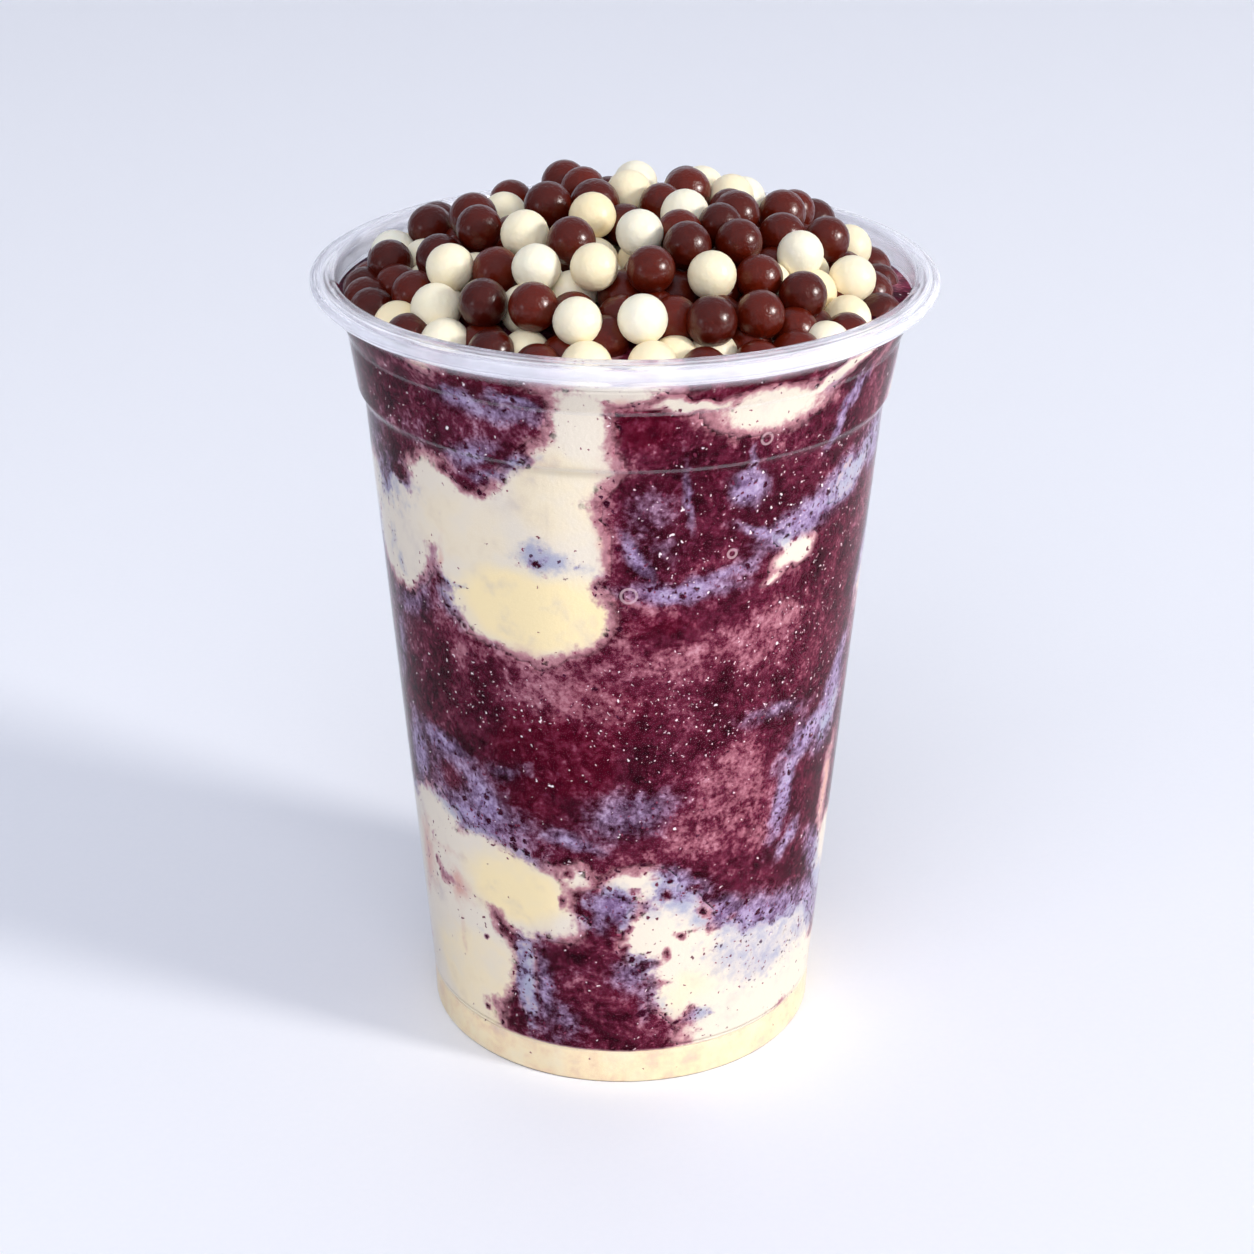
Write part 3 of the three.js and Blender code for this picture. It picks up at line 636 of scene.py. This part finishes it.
# a Mix node takes its two colours at inputs 6 and 7, and gives the result at output 2
edge = add(tree, "Mix", {
    "Factor": share(0.1, 0.6, (field["lavender"], 1.0), (grain["regions"], 0.6), (lumps, 0.3)),
    6: linear("#B47F84"), 7: linear("#9C94AA")}, data_type="RGBA").outputs[2]
ivory = add(tree, "Mix", {
    "Factor": share(0.1, 0.9, (field["yellow"], 1.0), (lumps, 0.3)),
    6: linear("#E0D5C0"), 7: linear("#F0DCAA")}, data_type="RGBA").outputs[2]
for shown, tint in (
        (share(0.25, 0.9, (field["lavender"], 1.0), (lumps, 0.3), (crumbs, 0.4)), "#A4A4B4"),
        (share(0.2, 1.2, (field["pink"], 1.0), (lumps, 0.4), (crumbs, 0.3)), "#D09C8C"),
        (share(0.0, 1.2, (lumps, 1.0)), "#C2B6B0")):
    ivory = add(tree, "Mix", {"Factor": shown, 6: ivory, 7: linear(tint)},
                data_type="RGBA").outputs[2]
freckle_guide = share(1.05, 0.6, (rough_cream, 1.0), (field["yellow"], 0.4), (field["lavender"], -0.45))
layers = [
    (share(0.3, 0.9, (field["magenta"], 1.0), (lumps, 0.4)), deep),
    (share(0.45, 1.5, (field["pink"], 1.0), (lumps, 0.3), (crumbs, 0.6), (powder, 0.3)),
     linear("#B07A80")),
    (share(0.12, 0.95, (field["lavender"], 1.0), (lumps, 0.25), (crumbs, 0.34), (powder, 0.16)),
     haze),
    (share(0.12, 0.5, (rough_cream, 1.0)), edge),
    (specks(0.9, 0.5, crust_guide, 0.0, 0.5), linear("#42142A")),
    (specks(1.9, 1.1, crust_guide, 0.0, 0.6), linear("#340A1C")),
    (specks(0.7, 0.24, field["frost"], 0.06, 0.6), linear("#E6D0D0")),
    (specks(1.5, 0.42, field["frost"], 0.08, 0.4), linear("#F2E2E0")),
    (share(0.4, 0.66, (rough_cream, 1.0)), ivory),
    (specks(1.3, 0.6, share(0.3, 1.0, (field["lavender"], 1.0)), 0.0, 0.5), linear("#50384C")),
    (specks(1.1, 0.34, freckle_guide, 0.03, 0.6), linear("#80384C")),
    (specks(2.0, 0.6, freckle_guide, 0.01, 0.55), linear("#622438")),
]
for azimuth, level, radius in BUBBLES:
    middle = on_cup(azimuth, inner_radius(level), level) * MM
    reach = add(tree, "VectorMath", {0: place, 1: middle.tolist()},
                operation="DISTANCE").outputs["Value"]
    ring = add(tree, "Math", {0: reach, 1: radius * MM, 2: BUBBLE_LINE * MM},
               operation="COMPARE").outputs[0]
    layers.append((add(tree, "Math", {0: ring, 1: BUBBLE_SHARE},
                       operation="MULTIPLY").outputs[0], linear("#D8BCBC")))
colour = puree
for shown, over in layers:
    colour = add(tree, "Mix", {"Factor": shown, 6: colour, 7: over},
                 data_type="RGBA").outputs[2]
shine = add(tree, "MapRange", {"Value": crumbs, "From Min": -0.4, "From Max": 0.4,
                               "To Min": 0.4, "To Max": 0.6})
dimples = add(tree, "Bump", {"Height": powder, "Strength": 0.15, "Distance": 0.2 * MM})
surface = add(tree, "BsdfPrincipled", {
    "Base Color": colour, "Roughness": shine.outputs[0], "IOR": 1.36,
    "Specular IOR Level": 0.03, "Normal": dimples.outputs[0]})
tree.links.new(surface.outputs[0], output.inputs["Surface"])

# %% The acai
BEHIND_CREAM = 0.25
# the bed under the heap is marbled from its edge inwards as the wall is from the top down
BED_CENTRE, BED_ROWS, BED_MARBLE_DEPTH = 129.3, 10, 25
FOOT_POLE = FILL_FOOT + 0.4
side_radius = inner_radius(grid_level) + INTO_WALL - thickness - BEHIND_CREAM * (thickness > 0)
side = on_cup(grid_azimuth, side_radius, grid_level)
bed_share = np.linspace(1, 0, BED_ROWS + 2)[1:-1, None] + 0 * azimuths[None]
bed_azimuth = np.broadcast_to(azimuths, bed_share.shape)
bed_radius = bed_share * side_radius[-1]
bed_height = BED_CENTRE - (BED_CENTRE - FILL_TOP) * bed_share ** 2
bed = on_cup(bed_azimuth, bed_radius, bed_height)
bed_fields = marble(bed_azimuth, FILL_TOP - BED_MARBLE_DEPTH * (1 - bed_share))
rows = np.concatenate([side, bed])
row_fields = {kind: np.concatenate([wall_fields[kind], bed_fields[kind]])
              for kind in wall_fields}
acai_points = np.concatenate([rows.reshape(-1, 3), [[0, 0, FOOT_POLE], [0, 0, BED_CENTRE]]])
sides, caps = closed_rows(*rows.shape[:2])
acai = mesh_piece("acai_fill", acai_points, sides.tolist() + caps.tolist(), acai_marble)
give_fields(acai, {kind: np.concatenate([field.ravel(), [0, 0]])
                   for kind, field in row_fields.items()})
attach(acai, "root")
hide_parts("acai")
print("acai_fill faces:", len(acai.data.polygons))

# %% [markdown]
# The cream patches take the same grid where cream lies. Their back is the same cells,
# pushed in by the patch's thickness and turned over, and both meet where it is nothing.

# %% The cream on the wall
thick = thickness.ravel() > 0
cells = closed_rows(GRID_ROWS, GRID_TURNS)[0]
cells = cells[thick[cells].any(axis=1)]
front_points = on_cup(grid_azimuth, inner_radius(grid_level) + INTO_WALL, grid_level)
back_points = on_cup(grid_azimuth, inner_radius(grid_level) + INTO_WALL - thickness, grid_level)
behind = np.arange(thick.size) + np.where(thick, thick.size, 0)
patch_faces = np.concatenate([cells, behind[cells][:, ::-1]])
patch_points = np.concatenate([front_points.reshape(-1, 3), back_points.reshape(-1, 3)])
used, patch_faces = np.unique(patch_faces, return_inverse=True)
patch_faces = patch_faces.reshape(-1, 4)
cream = mesh_piece("cream_swirl", patch_points[used], patch_faces.tolist(), acai_marble)
give_fields(cream, {kind: np.tile(field.ravel(), 2)[used] for kind, field in wall_fields.items()})
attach(cream, "root")
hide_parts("cream")
print("cream_swirl faces:", len(cream.data.polygons))

# %% [markdown]
# The foot is full of cream up to the crease. This pool is a turned piece. It reaches well
# into the film underneath, or a dark line would show along the foot's edge. Its domed top
# is hidden in the acai, so its fields are read no higher than in the foot.

# %% The cream in the foot
POOL_STEPS = 192
POOL_FOOT, POOL_FLOOR, POOL_CROWN = 0.2, PUNT + FLOOR - 0.1, FILL_FOOT + 1.0
POOL_SLOPE, IN_FOOT = 0.6, 5.0
pool_side = [(ring_inside - POOL_SLOPE, POOL_FLOOR), (ring_inside + POOL_SLOPE, POOL_FOOT),
             (FOOT_RADIUS - WALL + INTO_WALL, POOL_FOOT),
             (inner_radius(FILL_FOOT) + INTO_WALL, FILL_FOOT)]
pool_corners = [(0, POOL_FLOOR)] + pool_side + [(0, POOL_CROWN)]
pool_points, pool_faces = turned(rounded(pool_corners, reach=0.4), POOL_STEPS)
pool = mesh_piece("cream_pool", pool_points, pool_faces, acai_marble)
pool_azimuth = np.degrees(np.arctan2(pool_points[:, 0], -pool_points[:, 1]))
give_fields(pool, marble(pool_azimuth, np.minimum(pool_points[:, 2], IN_FOOT)))
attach(pool, "root")
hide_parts("cream")
print("cream_pool faces:", len(pool.data.polygons))

# %% [markdown]
# ## The heap of chocolate balls
# Nearly two hundred balls of crisp cereal in chocolate lie in a low dome. A physics
# simulation could drop them, but the ones at the front have to lie where they are seen.
# So those are listed one by one and held, and the rest are scattered with a seeded draw and
# pushed apart until they hardly touch. A ball's layer is 0 at the foot of the dome and 1 on
# its top.

# %% Where the balls lie
BALL_RADIUS, BALL_SPREAD, PLACED_SIZE = 3.65, 0.09, 1.015
LOWER_CENTRE, LOWER_FALL = 133.2, 7.6
UPPER_CENTRE, UPPER_FALL = 139.6, 12.5
DOME_RADIUS, HEAP_ROOM_RADIUS, SCATTER_RADIUS = 41.0, 44.05, 39.0
FREE_BALLS, BACK_BALLS, BACK_START, BACK_DEPTH = 80, 18, 14.0, 25.0
TOUCH, SETTLING_PASSES, SINK_STEP, HEAP_SEED = 0.96, 200, 0.08, 26513
WHITE_SHARE, WHITE_SHARE_BACK = 0.25, 0.4
LAYER_SPREAD, BACK_LAYER = 0.5, 0.5
# x and y in mm, and layer
WHITE_BALLS = [
    (-6.8, -33.3, 1), (2.6, -33.3, 1), (-13.1, -21.4, 1), (-4.5, -22.8, 1),
    (12.8, -23.1, 1), (2.2, -11.9, 1), (-5.0, -3.7, 1), (9.2, -1.9, 1),
    (26.6, -9.8, 1), (34.7, -8.8, 1), (35.4, 9.0, 1), (16.9, 14.2, 1),
    (0.6, 9.4, 1), (-15.1, -10.1, 1), (-26.2, -14.8, 1), (-28.0, -21.8, 0.7),
    (-36.8, 9.0, 1), (1.6, 21.0, 1), (12.3, 19.5, 1), (19.2, 21.5, 1),
    (-5.5, -37.7, 0), (4.0, -37.5, 0), (-26.3, -27.5, 0), (-34.0, -18.6, 0),
    (33.5, -16.5, 0), (-19.4, 15.0, 0.5)]
DARK_BALLS = [
    (3.8, -23.4, 1), (7.2, -29.5, 0.3), (19.8, -28.5, 1), (12.6, -32.1, 1),
    (26.4, -21.1, 1), (20.0, -18.5, 0.7), (-20.7, -26.2, 1), (-13.3, -29.6, 1),
    (-19.2, -15.4, 0.5), (-8.0, -14.4, 1), (-22.4, -3.6, 1), (-12.0, 2.9, 1),
    (9.3, -15.7, 1), (17.1, -12.1, 1), (17.1, 0.2, 1), (24.2, -1.8, 0.8),
    (9.8, 13.0, 1), (24.8, 9.5, 1), (-9.8, 18.5, 1.1), (-6.7, 11.5, 1.05),
    (-31.0, 12.0, 1), (-36.5, 0.0, 1), (-31.8, -12.7, 0.3), (-28.4, -5.7, 0.6),
    (-19.3, -33.0, 0.2), (-12.5, -37.2, 0.1), (11.5, -37.8, 0.1), (19.3, -34.9, 0.1)]


def make_random(seed):
    """Repeatable numbers from 0 to 1: state = state * 16807 mod 2147483647."""
    state = seed
    while True:
        state = state * 16807 % 2147483647
        yield state / 2147483647


def layer_height(x, y, layer):
    """Height of a ball's centre: each layer falls with the cube of the distance."""
    fall = (np.hypot(x, y) / DOME_RADIUS) ** 3
    return ((LOWER_CENTRE - LOWER_FALL * fall) * (1 - layer)
            + (UPPER_CENTRE - UPPER_FALL * fall) * layer)


draw = make_random(HEAP_SEED)
balls = []
for x, y, layer in WHITE_BALLS + DARK_BALLS:
    radius = BALL_RADIUS * (PLACED_SIZE + BALL_SPREAD * (next(draw) - 0.5))
    balls.append([x, y, layer_height(x, y, layer), radius, len(balls) < len(WHITE_BALLS)])
held_count = len(balls)
while len(balls) < held_count + FREE_BALLS + BACK_BALLS:
    at_back = len(balls) >= held_count + FREE_BALLS
    x, across = (2 * next(draw) - 1) * SCATTER_RADIUS, next(draw)
    y = BACK_START + BACK_DEPTH * across if at_back else (2 * across - 1) * SCATTER_RADIUS
    layer = LAYER_SPREAD * next(draw) + (BACK_LAYER if at_back else 0)
    if np.hypot(x, y) > SCATTER_RADIUS:
        continue
    radius = BALL_RADIUS * (1 + 2 * BALL_SPREAD * (next(draw) - 0.5))
    white = next(draw) < (WHITE_SHARE_BACK if at_back else WHITE_SHARE)
    balls.append([x, y, layer_height(x, y, layer), radius, white])
print("balls:", len(balls))

# %% Push the balls apart
centres = np.array([ball[:3] for ball in balls])
radii = np.array([ball[3] for ball in balls])
is_white = np.array([ball[4] for ball in balls])
held = np.arange(len(balls)) < held_count
for _ in range(SETTLING_PASSES):
    centres[~held, 2] -= SINK_STEP
    for i in range(len(balls)):
        for j in np.nonzero(np.linalg.norm(centres[i + 1:] - centres[i], axis=1)
                            < TOUCH * (radii[i + 1:] + radii[i]))[0] + i + 1:
            apart = centres[j] - centres[i]
            distance = np.linalg.norm(apart)
            short = TOUCH * (radii[i] + radii[j]) - distance
            if short <= 0 or (held[i] and held[j]):
                continue
            first = 0.0 if held[i] else 1.0 if held[j] else 0.5
            centres[i] -= apart * short / distance * first
            centres[j] += apart * short / distance * (1 - first)
    far = np.hypot(centres[:, 0], centres[:, 1])
    pull = np.where(held, 1, np.minimum(1, (HEAP_ROOM_RADIUS - radii) / far))
    centres[:, :2] *= pull[:, None]
    floor_height = layer_height(centres[:, 0], centres[:, 1], 0)
    centres[:, 2] = np.where(held, centres[:, 2], np.maximum(centres[:, 2], floor_height))
print("heap top in mm:", round(float((centres[:, 2] + radii).max()), 1))

# %% [markdown]
# A view between the balls must meet more balls, not the bed. Letting the heap settle with
# more of them would lift it. So it is filled afterwards: a ball goes wherever one still
# finds room on rings at several depths, and these may sink a little into their neighbours.

# %% Fill the gaps
# distance from the axis in mm, and layer
GAP_RINGS = ((40.3, 0.55), (38.6, 0.2), (35.4, 0.0), (32.0, -0.1), (28.6, -0.1), (25.0, -0.1),
             (21.5, -0.1), (18.0, -0.1), (14.0, -0.1), (10.0, -0.1),
             (37.0, -0.5), (34.0, -0.6), (31.0, -0.6), (28.0, -0.6), (25.0, -0.6))
GAP_STEP, GAP_TOUCH, GAP_SEED = 2.5, 0.72, 11
draw = make_random(GAP_SEED)
for reach, layer in GAP_RINGS:
    for azimuth in np.radians(np.arange(0, 360, GAP_STEP)):
        x, y = reach * np.sin(azimuth), -reach * np.cos(azimuth)
        spot = np.array([x, y, layer_height(x, y, layer)])
        room = np.linalg.norm(centres - spot, axis=1) - GAP_TOUCH * (radii + BALL_RADIUS)
        if room.min() > 0:
            centres = np.vstack([centres, spot])
            radii = np.append(radii, BALL_RADIUS)
            is_white = np.append(is_white, next(draw) < WHITE_SHARE)
print("balls with the gaps filled:", len(centres))

# %% [markdown]
# ### The chocolate
# Dark chocolate panned over cereal is polished with a glaze: a deep red brown with a
# soft highlight that its lumps break up, so it gets a clear coat. White chocolate is
# ivory, more satin and smoother, and lets a little light in. Each ball has a tone of its
# own, which an attribute on its vertices holds.

# %% Materials: glazed dark and satin white chocolate
MOTTLE_SIZE, LUMP_SIZE, LUMP_HEIGHT = 2.2, 1.2, 0.45
OWN_TONE_TOP = 1.4


def ball_material(name, darker, lighter, lumpiness, inputs):
    """Chocolate with a tone of its own for each ball, fine mottling and low lumps."""
    material, tree, output = new_material(name)
    place = add(tree, "TexCoord").outputs["Object"]
    own = add(tree, "Attribute", attribute_name="own_tone").outputs["Fac"]
    mottle = add(tree, "TexNoise", {"Vector": place, "Detail": 4.0,
                                    "Scale": 1 / (MOTTLE_SIZE * MM)})
    mixed = add(tree, "Math", {0: mottle.outputs[0], 1: 0.5, 2: own},
                operation="MULTIPLY_ADD")
    eased = add(tree, "MapRange", {"Value": mixed.outputs[0], "From Max": OWN_TONE_TOP})
    colour = add(tree, "Mix", {"Factor": eased.outputs[0], 6: linear(darker),
                               7: linear(lighter)}, data_type="RGBA")
    lumps = add(tree, "TexNoise", {"Vector": place, "Detail": 3.0, "Scale": 1 / (LUMP_SIZE * MM)})
    bump = add(tree, "Bump", {"Height": lumps.outputs[0], "Strength": lumpiness,
                              "Distance": LUMP_HEIGHT * MM})
    shader = add(tree, "BsdfPrincipled", {
        "Base Color": colour.outputs[2], "Normal": bump.outputs[0], **inputs})
    tree.links.new(shader.outputs[0], output.inputs["Surface"])
    return material


dark_chocolate = ball_material("glazed dark chocolate", "#3A0903", "#641804", 0.8, {
    "Roughness": 0.32, "IOR": 1.25, "Coat Weight": 0.5, "Coat Roughness": 0.24})
white_chocolate = ball_material("satin white chocolate", "#FFE8B8", "#FFFAE6", 0.4, {
    "Roughness": 0.4, "IOR": 1.4, "Subsurface Weight": 0.25,
    "Subsurface Radius": (1.0, 0.8, 0.6), "Subsurface Scale": 1.5 * MM})

# %% The balls
BALL_TURNS, BALL_ROWS = 24, 13
LUMP, TONE_SEED = 0.018, 7


def ball_mesh(middle, radius, seed):
    """
    Balls as a grid of turn and slope each, r = R (1 + LUMP * waves of the direction),
    joined as whole arrays. Returns points, faces and how many points each ball has.
    """
    turn = np.arange(BALL_TURNS) * 2 * np.pi / BALL_TURNS
    slope = np.linspace(-np.pi / 2, np.pi / 2, BALL_ROWS + 2)
    ring = np.stack([np.cos(slope[1:-1, None]) * np.cos(turn),
                     np.cos(slope[1:-1, None]) * np.sin(turn),
                     np.sin(slope[1:-1, None]) + 0 * turn], axis=-1).reshape(-1, 3)
    way = np.concatenate([ring, [[0, 0, -1], [0, 0, 1]]])
    phase = np.random.default_rng(seed).random((len(middle), 3, 3)) * 2 * np.pi
    wobble = sum(np.sin((n + 1.5) * way @ np.eye(3)[n] + phase[:, n, :1])
                 for n in range(3)) / 3
    points = middle[:, None] + radius[:, None, None] * (1 + LUMP * wobble[..., None]) * way
    sides, caps = closed_rows(BALL_ROWS, BALL_TURNS)
    starts = (np.arange(len(middle)) * len(way))[:, None, None]
    faces = (starts + sides).reshape(-1, 4).tolist() + (starts + caps).reshape(-1, 3).tolist()
    return points.reshape(-1, 3), faces, len(way)


for name, chosen, material in (("dark_chocolate_balls", ~is_white, dark_chocolate),
                               ("white_chocolate_balls", is_white, white_chocolate)):
    points, faces, each = ball_mesh(centres[chosen], radii[chosen], seed=len(name))
    piece = mesh_piece(name, points, faces, material)
    own_tone = np.repeat(np.random.default_rng(TONE_SEED).random(int(chosen.sum())), each)
    layer = piece.data.attributes.new("own_tone", "FLOAT", "POINT")
    layer.data.foreach_set("value", own_tone.astype(np.float32))
    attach(piece, "root")
    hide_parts("chocolate_ball_heap")
    print(name, int(chosen.sum()), "balls,", len(faces), "faces")

# %% [markdown]
# A few specks of acai stick to the bare plastic between the bed and the rim. They are the
# same small lumpy balls, half sunk in the wall, with the acai's material.

# %% The smears
# azimuth in degrees, height and radius in mm
SMEARS = ((-79, 129.6, 0.7), (-77, 128.8, 0.5), (-81, 128.4, 0.6), (-74, 128.1, 0.4),
          (79, 129.4, 0.6), (82, 128.6, 0.7), (76, 128.3, 0.4), (73, 129.0, 0.3),
          (148, 128.9, 0.5), (-150, 128.6, 0.5), (38, 128.2, 0.3), (-35, 128.3, 0.3))
BARE_WALL_HEIGHTS, BARE_WALL_RADII = (126.6, 129.6, 130.9), (45.0, 45.15, 45.0)
azimuth, level, size = np.array(SMEARS, float).T
bare_wall = np.interp(level, BARE_WALL_HEIGHTS, BARE_WALL_RADII)
points, faces, _ = ball_mesh(on_cup(azimuth, bare_wall, level), size, seed=3)
smears = mesh_piece("acai_smears", points, faces, acai_marble)
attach(smears, "root")
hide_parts("acai")
print("acai_smears faces:", len(faces))

# %% [markdown]
# ## Floor and light
# The photograph is a product shot on seamless bluish white paper: the floor curves up
# into the wall with no line. A small strong lamp from the right throws the long shadow to
# the left. A large one in front and the pale room, brighter overhead, fill it in.

# %% Seamless paper
# in metres
PAPER_HALF_WIDTH, PAPER_FRONT, PAPER_BACK, PAPER_RISE = 3.0, -1.2, 1.6, 2.4
CURVE_RADIUS, CURVE_STEPS, FIBRES_PER_METRE = 0.9, 24, 900.0

paper, tree, output = new_material("matt white paper")
place = add(tree, "TexCoord").outputs["Object"]
fibre = add(tree, "TexNoise", {"Vector": place, "Detail": 2.0, "Scale": FIBRES_PER_METRE})
tint = add(tree, "Mix", {"Factor": fibre.outputs[0], 6: linear("#F6F8FD"),
                         7: linear("#FAFBFF")}, data_type="RGBA")
sheet = add(tree, "BsdfPrincipled", {"Base Color": tint.outputs[2],
                                     "Roughness": 0.8, "Specular IOR Level": 0.2})
tree.links.new(sheet.outputs[0], output.inputs["Surface"])

bend = np.linspace(0, np.pi / 2, CURVE_STEPS)
sweep_y = np.concatenate([[PAPER_FRONT], PAPER_BACK + CURVE_RADIUS * np.sin(bend),
                          [PAPER_BACK + CURVE_RADIUS]])
sweep_z = np.concatenate([[0], CURVE_RADIUS * (1 - np.cos(bend)), [PAPER_RISE]])
sweep_x = np.array([-PAPER_HALF_WIDTH, PAPER_HALF_WIDTH])
paper_points = np.stack([np.repeat(sweep_x[None], len(sweep_y), 0),
                         np.repeat(sweep_y[:, None], 2, 1),
                         np.repeat(sweep_z[:, None], 2, 1)], axis=-1).reshape(-1, 3) / MM
left = np.arange(len(sweep_y) - 1) * 2
paper_faces = np.stack([left, left + 1, left + 3, left + 2], axis=-1).tolist()
backdrop = mesh_piece("paper_sweep", paper_points, paper_faces, paper)

# %% [markdown]
# ### The lamps and the room
# An area lamp gives the same light whatever its size, and a smaller one a brighter
# highlight. The large lamp is hidden from reflections, because its round image would lie
# on every ball. The glint lamp is the opposite: only glossy surfaces see it, so it broadens
# the highlight on the chocolate and lights nothing else.

# %% Lamps
def soft_lamp(name, place, aim, size, watts, colour):
    """A round area lamp at place, turned towards aim, all in metres."""
    data = bpy.data.lights.new(name, "AREA")
    data.shape, data.size, data.energy = "DISK", size, watts
    data.color = linear(colour)[:3]
    lamp = bpy.data.objects.new(name, data)
    bpy.context.scene.collection.objects.link(lamp)
    lamp.location = place
    way = np.array(aim) - np.array(place)
    level = math.hypot(way[0], way[1])
    lamp.rotation_euler = (math.atan2(level, -way[2]), 0, math.atan2(-way[0], way[1]))
    return lamp


def lamp_place(azimuth, rise, distance):
    """A place in metres by azimuth from the front to the right, elevation and distance."""
    azimuth, rise = math.radians(azimuth), math.radians(rise)
    return (distance * math.sin(azimuth) * math.cos(rise),
            -distance * math.cos(azimuth) * math.cos(rise), distance * math.sin(rise))


CUP_MIDDLE = (0, 0, 0.08)
soft_lamp("key_lamp", lamp_place(66, 23, 3.0), CUP_MIDDLE, 0.6, 60.0, "#FFFBF6")
fill_lamp = soft_lamp("fill_lamp", lamp_place(-8, 42, 2.6), CUP_MIDDLE, 2.6, 34.0, "#F6F7FF")
fill_lamp.visible_glossy = False
glint_lamp = soft_lamp("glint_lamp", lamp_place(66, 25, 3.0), CUP_MIDDLE, 0.8, 55.0, "#FFFBF6")
glint_lamp.visible_diffuse = False
glint_lamp.visible_transmission = False
soft_lamp("side_lamp", lamp_place(-52, 14, 2.4), CUP_MIDDLE, 0.5, 3.5, "#F4F6FF")

# %% The room
# the rise of a ray, from 0 at the horizon to 1 straight up, and the room's strength there
ROOM_LOW, ROOM_HIGH = (0.1, 0.25), (0.9, 0.6)
world = bpy.data.worlds.new("pale room")
bpy.context.scene.world = world
world.use_nodes = True
world.node_tree.nodes.clear()
way = add(world.node_tree, "TexCoord").outputs["Generated"]
rise = add(world.node_tree, "SeparateXYZ", {"Vector": way}).outputs["Z"]
glow = add(world.node_tree, "MapRange", {
    "Value": rise, "From Min": ROOM_LOW[0], "From Max": ROOM_HIGH[0],
    "To Min": ROOM_LOW[1], "To Max": ROOM_HIGH[1]})
room = add(world.node_tree, "Background", {"Color": linear("#E3E9FA"),
                                           "Strength": glow.outputs[0]})
add(world.node_tree, "OutputWorld", {"Surface": room.outputs[0]})
bpy.context.scene.view_settings.view_transform = "Standard"
